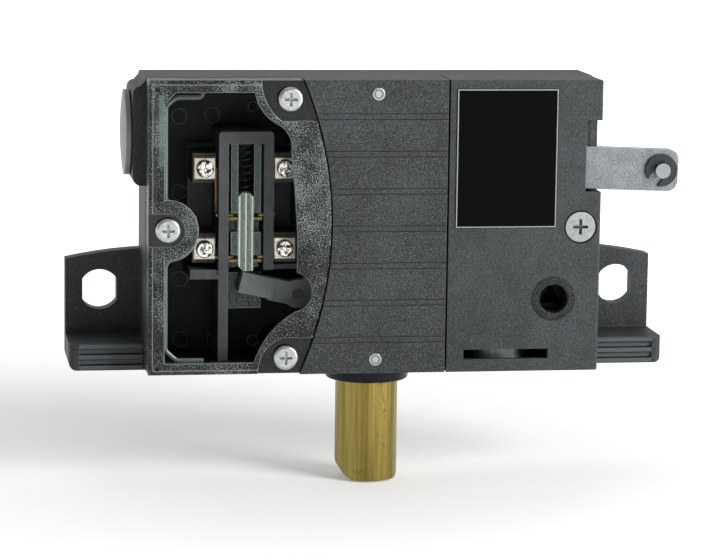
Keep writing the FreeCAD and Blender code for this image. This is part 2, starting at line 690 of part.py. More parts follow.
# ------------------------------------------------------------------ bolt_spring and spring_guide
# Return spring between the bolt's bore and the housing's top wall, on a headed guide peg.
roof = body_top - wall
guide = rod_z(0, bolt_y, spring_guide_radius, bolt_bore_floor + bolt_travel + 2, roof).fuse(
    rod_z(0, bolt_y, 2.5 * spring_guide_radius, roof - spring_guide_head, roof))
save("spring_guide", guide)
save("bolt_spring", spring(0, bolt_y, bolt_bore_floor, roof - spring_guide_head, bolt_spring_radius,
                           bolt_spring_wire, 8))

# ------------------------------------------------------------------ lever pieces
# Cranked steel strip: outer arm through the side notch, inner arm carrying the drive pin.
def along_lever(distance, across):
    lean = math.radians(-lever_tilt)
    return (lever_pin_x + distance * math.cos(lean) - across * math.sin(lean),
            lever_pin_z + distance * math.sin(lean) + across * math.cos(lean))


strip_half = lever_width / 2
arm = plate([along_lever(lever_pivot_x - lever_pin_x, -strip_half),
             along_lever(lever_tip - 3.6, -strip_half),
             along_lever(lever_tip - 1.0, 1.0 - strip_half) + along_lever(lever_tip, 3.6 - strip_half),
             along_lever(lever_tip, strip_half - 3.6),
             along_lever(lever_tip - 1.0, strip_half - 1.0) + along_lever(lever_tip - 3.6, strip_half),
             along_lever(lever_pivot_x - lever_pin_x, strip_half)],
            lever_y, lever_y + lever_thickness)
inner_arm = bar(lever_pivot_x, lever_pivot_z, lever_boss_radius, drive_x, drive_z, lever_nose_radius,
                lever_y, lever_y + lever_thickness)
lever = arm.fuse(inner_arm)
lever = lever.cut(rod_y(lever_pivot_x, lever_pivot_z, pivot_radius + running, lever_y - 1, 0))
lever = lever.cut(rod_y(drive_x, drive_z, drive_pin_radius - 0.5, lever_y - 1, 0))
lever = lever.cut(rod_y(lever_pin_x, lever_pin_z, lever_end_pin_radius - 0.3, lever_y - 1, 0))
save("actuating_lever", lever.removeSplitter())

drive_pin = rod_y(drive_x, drive_z, drive_pin_radius, lever_y + lever_thickness, lift_y + lift_plate + 0.5)
drive_pin = drive_pin.fuse(rod_y(drive_x, drive_z, drive_pin_radius - 0.5, lever_y - 0.4,
                                 lever_y + lever_thickness))
save("drive_pin", drive_pin)

pivot_pin = rod_y(lever_pivot_x, lever_pivot_z, pivot_radius, lever_y - 1.7, -back_floor - 6)
pivot_pin = pivot_pin.cut(rod_y(lever_pivot_x, lever_pivot_z, pivot_radius + 1, lever_y - 1.0, lever_y - 0.2)
                          .cut(rod_y(lever_pivot_x, lever_pivot_z, pivot_radius - 0.6, lever_y - 1.0,
                                     lever_y - 0.2)))
save("lever_pivot_pin", pivot_pin)


def retaining_ring(x, z, bore, outer, y0, y1, opening):
    """Open snap ring: three inner lobes around the shaft groove and a gap towards one side."""
    ring = rod_y(x, z, outer, y0, y1).cut(rod_y(x, z, bore + 0.9, y0 - 1, y1 + 1))
    for lobe in range(3):
        angle = math.radians(opening + 90 + 90 * lobe)
        tooth = block(bore, outer - 0.4, y0, y1, -0.9, 0.9)
        tooth.rotate(V(0, 0, 0), V(0, -1, 0), math.degrees(angle))
        tooth.translate(V(x, 0, z))
        ring = ring.fuse(tooth)
    gap = block(0, outer + 1, y0 - 1, y1 + 1, -bore, bore)
    gap.rotate(V(0, 0, 0), V(0, -1, 0), opening)
    gap.translate(V(x, 0, z))
    return ring.cut(gap)


save("lever_pivot_ring", retaining_ring(lever_pivot_x, lever_pivot_z, pivot_radius - 0.6 + seat, 5.6,
                                        lever_y - 0.95, lever_y - 0.25, 270))

# plated pin through the lever's free end, with its black retaining ring in front
end_front = lever_y - 3.2
end_pin = rod_y(lever_pin_x, lever_pin_z, lever_end_pin_radius, end_front, lever_y)
end_pin = end_pin.fuse(rod_y(lever_pin_x, lever_pin_z, lever_end_pin_radius - 0.3, lever_y,
                             lever_y + lever_thickness))
end_pin = end_pin.fuse(rod_y(lever_pin_x, lever_pin_z, lever_end_pin_radius, lever_y + lever_thickness,
                             lever_y + lever_thickness + lever_end_pin_length))
groove = rod_y(lever_pin_x, lever_pin_z, lever_end_pin_radius + 1, lever_y - 1.1, lever_y - 0.3)
groove = groove.cut(rod_y(lever_pin_x, lever_pin_z, lever_end_pin_radius - 0.5, lever_y - 1.1, lever_y - 0.3))
save("lever_end_pin", end_pin.cut(groove))
save("lever_end_ring", retaining_ring(lever_pin_x, lever_pin_z, lever_end_pin_radius - 0.5 + seat, 5.2,
                                      lever_y - 1.05, lever_y - 0.35, 235))

# ------------------------------------------------------------------ lift_rocker
# Turns the lever's downward push into the bolt's upward stroke.
left_x = lift_pivot_x - lift_arm * math.cos(lift_angle)
right_x = lift_pivot_x + (drive_x - lift_pivot_x + 2) * math.cos(lift_angle)
right_z = lift_pivot_z + (drive_x - lift_pivot_x + 2) * math.sin(lift_angle)
lift = rod_y(lift_pivot_x, lift_pivot_z, 5.6, lift_y, lift_y + lift_plate)
for x, z, beam_half in ((left_x, upper_notch_z, neck), (right_x, right_z, lift_half)):
    reach = math.hypot(x - lift_pivot_x, z - lift_pivot_z)
    beam = block(0, reach, lift_y, lift_y + lift_plate, -beam_half, beam_half)
    beam = beam.fuse(rod_y(reach, 0, nose_radius, lift_y, lift_y + lift_plate))
    beam.rotate(V(0, 0, 0), V(0, -1, 0), math.degrees(math.atan2(z - lift_pivot_z, x - lift_pivot_x)))
    beam.translate(V(lift_pivot_x, 0, lift_pivot_z))
    lift = lift.fuse(beam)
lift = lift.cut(rod_y(lift_pivot_x, lift_pivot_z, lift_pivot_radius + running, lift_y - 1, 0))
save("lift_rocker", lift.removeSplitter())
lift_pin = rod_y(lift_pivot_x, lift_pivot_z, lift_pivot_radius, lift_y - 1.5, -back_floor - 5)
lift_pin = lift_pin.fuse(rod_y(lift_pivot_x, lift_pivot_z, lift_pivot_radius + 1.5, lift_y - 2.2,
                               lift_y - joint_gap))
save("lift_rocker_pin", lift_pin)

# ------------------------------------------------------------------ contact block
# Grey insulating carrier: back plate, arch over the plunger, two rails, four terminal ledges, lower walls.
seat_y = -back_floor
carrier_back = seat_y - 3
room_half = terminal_offset + terminal_pad / 2 + 0.3
carrier = block(contact_x - room_half, contact_x + room_half, carrier_back, seat_y, block_bottom, arch_top - 6)
rail_inner = plunger_width / 2 + guide_width + 0.9
for side in (-1, 1):
    low, high = sorted((contact_x + side * rail_inner, contact_x + side * (rail_inner + rail_width)))
    foot_z = block_bottom if side < 0 else rocker_top + 1.0
    carrier = carrier.fuse(block(low, high, contact_y - 0.6, carrier_back + 1, foot_z, arch_top))
arch_half = rail_inner + rail_width
carrier = carrier.fuse(block(contact_x - arch_half, contact_x + arch_half, contact_y - 0.6, carrier_back + 1,
                             arch_top - arch_height, arch_top))
carrier = rounded(carrier, 1.2, lambda e: runs_along(e, V(0, 1, 0)) and e.CenterOfMass.z > arch_top - 0.1)
ledge_y = contact_y + 5.2
for side in (-1, 1):
    for z in terminal_levels:
        middle_x = contact_x + side * terminal_offset
        carrier = carrier.fuse(block(middle_x - terminal_pad / 2, middle_x + terminal_pad / 2, ledge_y,
                                     carrier_back + 1, z - terminal_pad / 2 - 1, z + terminal_pad / 2 + 1))
        carrier = carrier.cut(rod_y(middle_x, z, terminal_screw_radius + seat, ledge_y - 1, ledge_y + 7))
lower_left = contact_x - rail_inner - rail_width
carrier = carrier.fuse(block(lower_left - 9, lower_left + rail_width, contact_y, seat_y,
                             block_bottom - 1.2, block_bottom + 1.8))
carrier = carrier.fuse(block(lower_left, lower_left + rail_width, contact_y, seat_y,
                             body_bottom + wall + 0.2, block_bottom + 1.8))
for side in (-1, 1):
    for z in tongue_levels:
        low, high = sorted((contact_x + side * (rail_inner - 1), contact_x + side * (rail_inner + rail_width + 1)))
        carrier = carrier.cut(block(low, high, contact_y + 0.8, contact_y + contact_depth - 0.6,
                                    z - seat, z + strip + seat))
right_wall = contact_x + rail_inner + rail_width - 0.4
carrier = carrier.fuse(block(right_wall, right_wall + 8.5, contact_y + contact_depth, seat_y,
                             rocker_top + 0.4, rocker_top + 2.0))
save("contact_block", carrier.removeSplitter())

# ------------------------------------------------------------------ terminals and fixed contacts
tongues, washers, terminal_screws = [], [], []
for side in (-1, 1):
    for z, tongue_z in zip(terminal_levels, tongue_levels):
        middle_x = contact_x + side * terminal_offset
        pad = block(middle_x - terminal_pad / 2, middle_x + terminal_pad / 2, ledge_y - strip, ledge_y,
                    z - terminal_pad / 2, z + terminal_pad / 2)
        riser = contact_x + side * (rail_inner + rail_width + seat)
        elbow = riser + side * (strip - 0.1)
        low, high = sorted((contact_x + side * (plunger_width / 2 + guide_width - 0.8), elbow))
        tongue = block(low, high, contact_y + 0.8 + seat, contact_y + contact_depth - 0.6 - seat,
                       tongue_z, tongue_z + strip)
        near, far = sorted((riser, elbow))
        tongue = tongue.fuse(block(near, far, contact_y + 0.8 + seat, ledge_y, tongue_z, tongue_z + strip))
        joggle = block(near, far, ledge_y - strip, ledge_y, tongue_z, z)
        piece = pad.fuse([joggle, tongue]).cut(rod_y(middle_x, z, terminal_screw_radius + seat, ledge_y - 4, ledge_y + 1))
        tongues.append(piece)
        top = ledge_y - strip - terminal_washer
        washer = block(middle_x - terminal_pad / 2 + 0.4, middle_x + terminal_pad / 2 - 0.4,
                       top, ledge_y - strip, z - terminal_pad / 2 + 0.4, z + terminal_pad / 2 - 0.4)
        washers.append(washer.cut(rod_y(middle_x, z, terminal_screw_radius + seat, ledge_y - 4, ledge_y)))
        crown = top - terminal_head_height
        head = rod_y(middle_x, z, terminal_head_radius, crown, top)
        head = rounded(head, 0.6, lambda e: abs(e.CenterOfMass.y - crown) < 0.01)
        screw = head.fuse(rod_y(middle_x, z, terminal_screw_radius, top, ledge_y + 6.5))
        terminal_screws.append(screw.cut(cross_recess(middle_x, crown - 0.1, z, 1.6, 1.1)))
save("fixed_contacts", *tongues)
save("terminal_washers", *washers)
save("terminal_screws", *terminal_screws)

# ------------------------------------------------------------------ contact_guides (clear)
# Two upright clear guides beside the plunger, and the clear block below them behind the rocker.
guide_back = carrier_back
pieces = []
for side in (-1, 1):
    low, high = sorted((contact_x + side * (plunger_width / 2 + joint_gap / 2),
                        contact_x + side * (plunger_width / 2 + guide_width)))
    guide_low = plunger_low + 0.6
    rail = block(low, high, contact_y, guide_back, guide_low, arch_top - arch_height)
    for z in tongue_levels:
        rail = rail.cut(block(low - 1, high + 1, contact_y - 1, contact_y + contact_depth,
                              z - bridge_height - plunger_drop - 0.6, z + strip + 0.4))
    pieces.append(rail)
lower_guide = block(contact_x - rail_inner, contact_x + rail_inner, contact_y + contact_depth + 1.5,
                    seat_y, -4.3, block_bottom)
save("contact_guides", *pieces)
save("lower_guide", lower_guide)

# ------------------------------------------------------------------ contact_plunger, bridges and spring
plunger = block(contact_x - plunger_width / 2, contact_x + plunger_width / 2, contact_y,
                contact_y + contact_depth, plunger_low, plunger_top)
top_edges = [e for e in plunger.Edges if runs_along(e, V(0, 1, 0)) and e.CenterOfMass.z > plunger_top - 0.1]
plunger = plunger.makeChamfer(1.3, top_edges)
low_edges = [e for e in plunger.Edges if runs_along(e, V(0, 1, 0)) and e.CenterOfMass.z < plunger_low + 0.1
             and e.CenterOfMass.x < contact_x]
plunger = plunger.makeChamfer(1.6, low_edges)
bridge_half = rail_inner - 0.3
bridges = []
for z in tongue_levels:
    top = z - joint_gap
    bridge = block(contact_x - bridge_half, contact_x + bridge_half, contact_y + 1.2,
                   contact_y + contact_depth - 1.0, top - bridge_height, top)
    bridges.append(bridge)
    plunger = plunger.cut(block(contact_x - plunger_width, contact_x + plunger_width, contact_y + 1.2,
                                contact_y + contact_depth - 1.0, top - bridge_height, top))
save("contact_plunger", plunger)
save("contact_bridges", *bridges)
save("plunger_spring", spring(contact_x, contact_y + contact_depth / 2, plunger_top, arch_top - arch_height,
                              plunger_spring_radius, plunger_spring_wire, 7))

# ------------------------------------------------------------------ contact_rocker
# Moulded rocker on a pin at its round hub: square head under the plunger, follower arm to the bolt's ramp.
arm_y = contact_y + 0.8
head = block(rocker_pivot_x - rocker_head_far, rocker_pivot_x - rocker_head_near, contact_y,
             contact_y + contact_depth, rocker_pivot_z - rocker_half, rocker_pivot_z + rocker_half)
arm = block(rocker_pivot_x - rocker_head_near - 1, rocker_pivot_x, arm_y, contact_y + contact_depth,
            rocker_pivot_z - rocker_half - 0.6, rocker_pivot_z + rocker_half)
hub = rod_y(rocker_pivot_x, rocker_pivot_z, rocker_hub, arm_y, contact_y + contact_depth)
rocker = turned(head.fuse([arm, hub]), rocker_pivot_x, rocker_pivot_z, -rocker_tilt)
follower = bar(rocker_pivot_x, rocker_pivot_z, rocker_half, ramp_top[0], ramp_top[1], follower_nose,
               arm_y, contact_y + contact_depth)
rocker = rocker.fuse(follower)
rocker = rocker.cut(rod_y(rocker_pivot_x, rocker_pivot_z, rocker_pin_radius + running, front, 0))
save("contact_rocker", rocker.removeSplitter())
save("contact_rocker_pin", rod_y(rocker_pivot_x, rocker_pivot_z, rocker_pin_radius, contact_y + 0.2,
                                 -back_floor - 4))

# ------------------------------------------------------------------ cable entry plug and seal
outside = -half - entry_boss_rise
cap = rod_x(entry_y, entry_z, entry_cap_radius, outside - entry_seal - entry_cap_rise, outside - entry_seal)
dome_radius = (entry_cap_radius ** 2 + entry_cap_dome ** 2) / (2 * entry_cap_dome)
ball = Part.makeSphere(dome_radius, V(outside - entry_seal - entry_cap_rise - entry_cap_dome + dome_radius,
                                      entry_y, entry_z))
dome = ball.common(rod_x(entry_y, entry_z, entry_cap_radius - 0.6, outside - entry_seal - 6,
                         outside - entry_seal - entry_cap_rise + 0.01))
shank = rod_x(entry_y, entry_z, entry_thread_radius, outside - entry_seal, -half + wall + 1.5)
plug = cap.fuse(dome).fuse(shank)
plug = plug.cut(rod_x(entry_y, entry_z, entry_thread_radius - 2, outside + 1, half))
save("cable_entry_plug", plug.removeSplitter())
ring = rod_x(entry_y, entry_z, entry_cap_radius - 0.8, outside - entry_seal, outside)
save("cable_entry_seal", ring.cut(rod_x(entry_y, entry_z, entry_thread_radius + seat, outside - 2, outside + 1)))
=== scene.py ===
import math

import bmesh
import bpy
from mathutils import Matrix, Vector


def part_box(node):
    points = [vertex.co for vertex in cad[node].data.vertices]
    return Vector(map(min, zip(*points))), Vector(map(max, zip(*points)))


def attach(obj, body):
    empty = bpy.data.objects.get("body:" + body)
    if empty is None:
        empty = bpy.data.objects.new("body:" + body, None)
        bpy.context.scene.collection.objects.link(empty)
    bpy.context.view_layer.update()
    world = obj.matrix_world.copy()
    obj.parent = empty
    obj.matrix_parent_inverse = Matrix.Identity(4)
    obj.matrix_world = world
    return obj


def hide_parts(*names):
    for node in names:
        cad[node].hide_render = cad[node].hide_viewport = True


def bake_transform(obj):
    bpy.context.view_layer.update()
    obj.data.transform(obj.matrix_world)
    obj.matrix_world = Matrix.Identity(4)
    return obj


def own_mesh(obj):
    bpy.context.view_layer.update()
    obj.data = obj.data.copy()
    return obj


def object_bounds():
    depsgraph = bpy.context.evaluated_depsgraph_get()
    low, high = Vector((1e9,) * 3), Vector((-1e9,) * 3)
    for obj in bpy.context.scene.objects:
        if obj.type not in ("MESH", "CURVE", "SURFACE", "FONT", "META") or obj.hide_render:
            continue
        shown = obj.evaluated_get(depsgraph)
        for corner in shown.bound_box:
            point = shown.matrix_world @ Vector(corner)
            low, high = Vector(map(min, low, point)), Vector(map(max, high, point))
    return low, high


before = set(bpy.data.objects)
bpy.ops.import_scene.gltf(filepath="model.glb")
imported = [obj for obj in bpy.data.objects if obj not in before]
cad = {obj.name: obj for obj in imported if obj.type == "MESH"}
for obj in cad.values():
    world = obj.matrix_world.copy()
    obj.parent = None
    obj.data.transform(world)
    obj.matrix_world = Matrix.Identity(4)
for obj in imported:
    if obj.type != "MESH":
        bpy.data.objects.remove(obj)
cad_low, cad_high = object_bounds()

# ---------------------------------------------------------------- housing tray with its two ears
# One moulding of black glass-filled nylon: back, side walls, partition and both ears with their feet.
# The mould was spark-eroded, so the skin is finely grained and pale glass shows in it as flecks.


def linear(code):
    """Linear red, green, blue and alpha of an sRGB hex colour."""
    parts = [int(code[i:i + 2], 16) / 255 for i in (1, 3, 5)]
    return [p / 12.92 if p <= 0.04045 else ((p + 0.055) / 1.055) ** 2.4 for p in parts] + [1.0]


def put(tree, kind, values=None, wires=None, **settings):
    """Adds a node with its settings, the values of its sockets and the wires that feed them."""
    made = tree.nodes.new(kind)
    for name, value in settings.items():
        setattr(made, name, value)
    for socket, value in (values or {}).items():
        made.inputs[socket].default_value = value
    for socket, source in (wires or {}).items():
        tree.links.new(source, made.inputs[socket])
    return made


def started(name):
    """A new material with its tree emptied, its shader wired out and its object coordinates."""
    material = bpy.data.materials.new(name)
    material.use_nodes = True
    tree = material.node_tree
    tree.nodes.clear()
    shader = put(tree, "ShaderNodeBsdfPrincipled")
    put(tree, "ShaderNodeOutputMaterial", wires={"Surface": shader.outputs[0]})
    place = put(tree, "ShaderNodeTexCoord").outputs["Object"]
    return material, tree, shader, place


def within(tree, place, low, high):
    """One inside the box from low to high, given in millimetres, and nothing outside it."""
    where = put(tree, "ShaderNodeSeparateXYZ", wires={0: place})
    inside = None
    for axis in range(3):
        middle, half = (low[axis] + high[axis]) / 2000, (high[axis] - low[axis]) / 2000
        test = put(tree, "ShaderNodeMath", {1: middle, 2: half}, {0: where.outputs[axis]}, operation="COMPARE")
        if inside is None:
            inside = test.outputs[0]
        else:
            inside = put(tree, "ShaderNodeMath", wires={0: inside, 1: test.outputs[0]},
                         operation="MULTIPLY").outputs[0]
    return inside


def edge_rounding_and_highlight(tree, radius, most, flat=0.99, sharp=0.8, samples=6):
    """Corners rounded to a radius in metres, and how sharp each spot is, from 0 on the flat up to most.
    That sharpness is the mask of a painted edge highlight.
    """
    soft = put(tree, "ShaderNodeBevel", {"Radius": radius}, samples=samples).outputs[0]
    true = put(tree, "ShaderNodeNewGeometry").outputs["Normal"]
    turn = put(tree, "ShaderNodeVectorMath", wires={0: soft, 1: true}, operation="DOT_PRODUCT")
    edge_highlight = put(tree, "ShaderNodeMapRange", {"From Min": flat, "From Max": sharp, "To Max": most},
               {"Value": turn.outputs["Value"]})
    return soft, edge_highlight.outputs[0]


def tinted(tree, under, colour, share):
    """Lays an sRGB hex colour over a colour output, as much as a share output says."""
    return put(tree, "ShaderNodeMix", {"B": linear(colour)}, {"Factor": share, "A": under},
               data_type="RGBA").outputs["Result"]


def glass_filled_nylon(name, colour, fibre, flecks, edge=0.3, crisp=0.11, marks=None):
    """Moulded nylon: matt and clouded, with pale glass flecks and a painted highlight along its edges. Clouds
    are 11 and 36 mm wide. Grain and flecks are finer than the render shows, so they are drawn 0.5 and 0.4 mm
    wide."""
    material, tree, shader, place = started(name)
    clouds = put(tree, "ShaderNodeTexNoise", {"Scale": 90, "Detail": 5, "Roughness": 0.62}, {"Vector": place})
    smear = put(tree, "ShaderNodeTexNoise", {"Scale": 28, "Detail": 2, "Distortion": 1.2}, {"Vector": place})
    grain = put(tree, "ShaderNodeTexNoise", {"Scale": 2100, "Detail": 2, "Roughness": 0.7}, {"Vector": place})
    glass = put(tree, "ShaderNodeTexNoise", {"Scale": 2400, "Detail": 1}, {"Vector": place})
    cloudy = put(tree, "ShaderNodeMapRange", {"From Min": 0.35, "From Max": 0.68, "To Min": 0.8, "To Max": 1.22},
                 {"Value": clouds.outputs[0]})
    smeared = put(tree, "ShaderNodeMapRange", {"From Min": 0.35, "From Max": 0.65, "To Min": 0.85,
                  "To Max": 1.15}, {"Value": smear.outputs[0]})
    gritty = put(tree, "ShaderNodeMapRange", {"From Min": 0.5 - crisp, "From Max": 0.5 + crisp,
                 "To Min": 0.35, "To Max": 1.8}, {"Value": grain.outputs[0]})
    soft = put(tree, "ShaderNodeMath", wires={0: cloudy.outputs[0], 1: smeared.outputs[0]}, operation="MULTIPLY")
    amount = put(tree, "ShaderNodeMath", wires={0: soft.outputs[0], 1: gritty.outputs[0]}, operation="MULTIPLY")
    body = put(tree, "ShaderNodeVectorMath", {0: linear(colour)[:3]}, {"Scale": amount.outputs[0]},
               operation="SCALE")
    speck = put(tree, "ShaderNodeMapRange", {"From Min": 0.58, "From Max": 0.68, "To Max": flecks},
                {"Value": glass.outputs[0]})
    flecked = tinted(tree, body.outputs[0], fibre, speck.outputs[0])
    # pale edges: a painted highlight where the light catches the rounded corners
    round_edge, edge_highlight = edge_rounding_and_highlight(tree, 0.0003, edge, sharp=0.75)
    last = tinted(tree, flecked, fibre, edge_highlight)
    relief = put(tree, "ShaderNodeBump", {"Strength": 0.8, "Distance": 0.00008},
                 {"Height": grain.outputs[0], "Normal": round_edge})
    # on the housing and the right cover, what is laid here is painted shade and painted highlights
    if marks:
        last = marks(tree, place, last, relief)
    tree.links.new(last, shader.inputs["Base Color"])
    rough = put(tree, "ShaderNodeMapRange", {"From Min": 0.3, "From Max": 0.7, "To Min": 0.46, "To Max": 0.66},
                {"Value": grain.outputs[0]})
    tree.links.new(rough.outputs[0], shader.inputs["Roughness"])
    tree.links.new(relief.outputs[0], shader.inputs["Normal"])
    shader.inputs["IOR"].default_value = 1.53
    shader.inputs["Specular IOR Level"].default_value = 0.3
    return material


def dress(piece, material):
    """Puts one material in every slot of a piece."""
    if not piece.data.materials:
        piece.data.materials.append(material)
    for place in range(len(piece.data.materials)):
        piece.data.materials[place] = material
    return piece


contact_room = ((-69.6, -27.3, -20.4), (-4.0, -2.5, 67.8))
feet_bands = (((-92.8, -26.6, -22.5), (-73, -25.3, -14.6)), ((72, -26.6, -22.5), (92.8, -25.3, -14.6)))
feet_bottom, band_pitch = -0.0228, 0.0017


def room_and_feet(tree, place, last, relief):
    """The contact room, shut in under the cover, is painted near black as shade, without flecks or grain.
    Each foot has five bands on its front, painted pale as a highlight, and a dark line of painted shadow where
    each band meets the next."""
    inside = within(tree, place, *contact_room)
    # painted shade: the shut-in contact room is darkened to near black
    last = tinted(tree, last, "#05070c", inside)
    depth = put(tree, "ShaderNodeMapRange", {"To Min": 0.8, "To Max": 0.0}, {"Value": inside})
    tree.links.new(depth.outputs[0], relief.inputs["Strength"])
    left, right = (within(tree, place, *foot) for foot in feet_bands)
    bands = put(tree, "ShaderNodeMath", wires={0: left, 1: right}, operation="MAXIMUM")
    where = put(tree, "ShaderNodeSeparateXYZ", wires={0: place})
    above = put(tree, "ShaderNodeMath", {1: -feet_bottom}, {0: where.outputs[2]}, operation="ADD")
    swing = put(tree, "ShaderNodeMath", {1: band_pitch / 2}, {0: above.outputs[0]}, operation="PINGPONG")
    line = put(tree, "ShaderNodeMath", {1: 0.0002}, {0: swing.outputs[0]}, operation="LESS_THAN")
    # the feet's fronts are painted pale as a highlight, with a dark line of painted shadow where each band meets
    # the next
    painted_highlight = put(tree, "ShaderNodeMath", {1: 0.55}, {0: bands.outputs[0]}, operation="MULTIPLY")
    painted_step_line = put(tree, "ShaderNodeMath", wires={0: bands.outputs[0], 1: line.outputs[0]}, operation="MULTIPLY")
    return tinted(tree, tinted(tree, last, "#5f6669", painted_highlight.outputs[0]), "#060708", painted_step_line.outputs[0])


dress(cad["housing_base"], glass_filled_nylon("housing_glass_filled_nylon", "#2b2f31", "#8b9092",
                                              flecks=0.15, edge=0.4, crisp=0.17, marks=room_and_feet))

# ---------------------------------------------------------------- ejector marks on the room's floor
# The pins that push the tray out of its mould leave round marks, each with a thin raised lip.
# They lie in the floor of the contact room and show through the window.


def socket_of(tree, name):
    """The identifier of a tree's input, which is what a modifier is set by."""
    return next(item.identifier for item in tree.interface.items_tree if item.name == name)


def geometry_tree(name, sizes):
    """A Geometry Nodes tree with a geometry in and out, a material and named sizes with their defaults."""
    tree = bpy.data.node_groups.new(name, "GeometryNodeTree")
    face = tree.interface
    face.new_socket("Geometry", in_out="INPUT", socket_type="NodeSocketGeometry")
    for label, value in sizes.items():
        face.new_socket(label, in_out="INPUT", socket_type="NodeSocketFloat").default_value = value
    face.new_socket("Material", in_out="INPUT", socket_type="NodeSocketMaterial")
    face.new_socket("Geometry", in_out="OUTPUT", socket_type="NodeSocketGeometry")
    return tree, put(tree, "NodeGroupInput")


def closed(tree, source, geometry):
    """Ends a tree: instances are made real and take the tree's material."""
    real = put(tree, "GeometryNodeRealizeInstances", wires={0: geometry})
    clad = put(tree, "GeometryNodeSetMaterial", wires={"Geometry": real.outputs[0],
               "Material": source.outputs["Material"]})
    put(tree, "NodeGroupOutput", wires={0: clad.outputs[0]})


def grown(name, base, tree, material, body, slot, **sizes):
    """Runs a tree on a base mesh, keeps the plain result as a piece, and lets it ride on a body."""
    seed = bpy.data.objects.new(name + "_base", base)
    bpy.context.scene.collection.objects.link(seed)
    modifier = seed.modifiers.new("tree", "NODES")
    modifier.node_group = tree
    for label, value in sizes.items():
        modifier[socket_of(tree, label.replace("_", " "))] = value
    modifier[socket_of(tree, "Material")] = material
    shape = bpy.data.meshes.new_from_object(seed.evaluated_get(bpy.context.evaluated_depsgraph_get()))
    seed.modifiers.remove(modifier)
    bpy.data.objects.remove(seed)
    shape.name = name
    piece = bpy.data.objects.new(name, shape)
    bpy.context.scene.collection.objects.link(piece)
    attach(piece, body)
    return dress(piece, material)


def mottled(tree, dark, pale, share):
    """Goes from one sRGB hex colour to another, as a share output says."""
    return put(tree, "ShaderNodeMix", {"A": linear(dark), "B": linear(pale)}, {"Factor": share},
               data_type="RGBA").outputs["Result"]


ring_tree, source = geometry_tree("raised_rings", {"lip": 0.00022})
size = put(ring_tree, "GeometryNodeInputNamedAttribute", {"Name": "size"}, data_type="FLOAT")
circle = put(ring_tree, "GeometryNodeCurvePrimitiveCircle", {"Resolution": 40, "Radius": 1.0})
laid = put(ring_tree, "GeometryNodeInstanceOnPoints", {"Rotation": (math.pi / 2, 0, 0)},
           {"Points": source.outputs["Geometry"], "Instance": circle.outputs[0], "Scale": size.outputs[0]})
loose = put(ring_tree, "GeometryNodeRealizeInstances", wires={0: laid.outputs[0]})
bead = put(ring_tree, "GeometryNodeCurvePrimitiveCircle", {"Resolution": 8}, {"Radius": source.outputs["lip"]})
swept = put(ring_tree, "GeometryNodeCurveToMesh", wires={"Curve": loose.outputs[0],
            "Profile Curve": bead.outputs[0]})
closed(ring_tree, source, swept.outputs[0])

# places of the marks on the floor, in millimetres: across, up, and the ring's radius
floor_y = -3.0
pin_marks = ((-59.2, 55.4, 2.45), (-48.5, 55.7, 2.45), (-35.4, 58.5, 1.6), (-59.2, 31.0, 2.35),
             (-58.8, 2.6, 2.45), (-58.6, -17.2, 2.4), (-47.8, -17.4, 2.2), (-35.0, -18.0, 1.75))
mark_points = bpy.data.meshes.new("mark_points")
mark_points.from_pydata([(x / 1000, floor_y / 1000, z / 1000) for x, z, radius in pin_marks], [], [])
sizes = mark_points.attributes.new("size", "FLOAT", "POINT")
for index, (x, z, radius) in enumerate(pin_marks):
    sizes.data[index].value = radius / 1000

# the lips are smooth and a little shiny; their pale colour is a painted highlight on the black floor
lip_painted_highlight, tree, shader, place = started("lip_nylon_painted_highlight")
gloss = put(tree, "ShaderNodeTexNoise", {"Scale": 600, "Detail": 2}, {"Vector": place})
tree.links.new(mottled(tree, "#4c5457", "#7d878a", gloss.outputs[0]), shader.inputs["Base Color"])
shader.inputs["Roughness"].default_value = 0.3
grown("ejector_marks", mark_points, ring_tree, lip_painted_highlight, "housing", "housing_plastic", lip=0.00018)

# ---------------------------------------------------------------- contact block in the left room
# Matt black phenolic carrier with two rails, an arch and ledges for the terminals.
# It is pressed, so it is smoother than the housing and shows faint flow marks.


def pressed_plastic(name, colour, pale, rough, grit=0.0007, edge=0.0, gloss=0.5):
    """Smooth moulded plastic: even, with flow marks 6 mm wide and, where edge is set, a painted edge highlight.
    Its slight unevenness is too fine to show, so it is drawn as wide as grit, in metres."""
    material, tree, shader, place = started(name)
    flow = put(tree, "ShaderNodeTexNoise", {"Scale": 160, "Detail": 5, "Distortion": 0.8}, {"Vector": place})
    fine = put(tree, "ShaderNodeTexNoise", {"Scale": 1 / grit, "Detail": 3, "Roughness": 0.6}, {"Vector": place})
    both = put(tree, "ShaderNodeMath", wires={0: flow.outputs[0], 1: fine.outputs[0]}, operation="MULTIPLY")
    tone = put(tree, "ShaderNodeMapRange", {"From Min": 0.1, "From Max": 0.42}, {"Value": both.outputs[0]})
    round_edge, edge_highlight = edge_rounding_and_highlight(tree, 0.0003, edge)
    last = mottled(tree, colour, pale, tone.outputs[0])
    # where edge is set, the edges take a painted highlight
    if edge:
        last = tinted(tree, last, "#9aa3a2", edge_highlight)
    tree.links.new(last, shader.inputs["Base Color"])
    shine = put(tree, "ShaderNodeMapRange", {"From Min": 0.3, "From Max": 0.7, "To Min": rough - 0.08,
                "To Max": rough + 0.1}, {"Value": fine.outputs[0]})
    tree.links.new(shine.outputs[0], shader.inputs["Roughness"])
    bump = put(tree, "ShaderNodeBump", {"Strength": 0.4, "Distance": 0.00003},
               {"Height": fine.outputs[0], "Normal": round_edge})
    tree.links.new(bump.outputs[0], shader.inputs["Normal"])
    shader.inputs["IOR"].default_value = 1.5
    shader.inputs["Specular IOR Level"].default_value = gloss
    return material


dress(cad["contact_block"], pressed_plastic("carrier_black_phenolic", "#292b2e", "#4a4e51", 0.5,
                                            grit=0.0005, edge=0.35))

# ---------------------------------------------------------------- fixed contacts and bridges
# Four strips of rolled brass, blanked and bent, lie on the carrier's ledges under the terminals.
# Two bridges of the same brass ride on the plunger. Both are warm yellow with faint rolling lines.


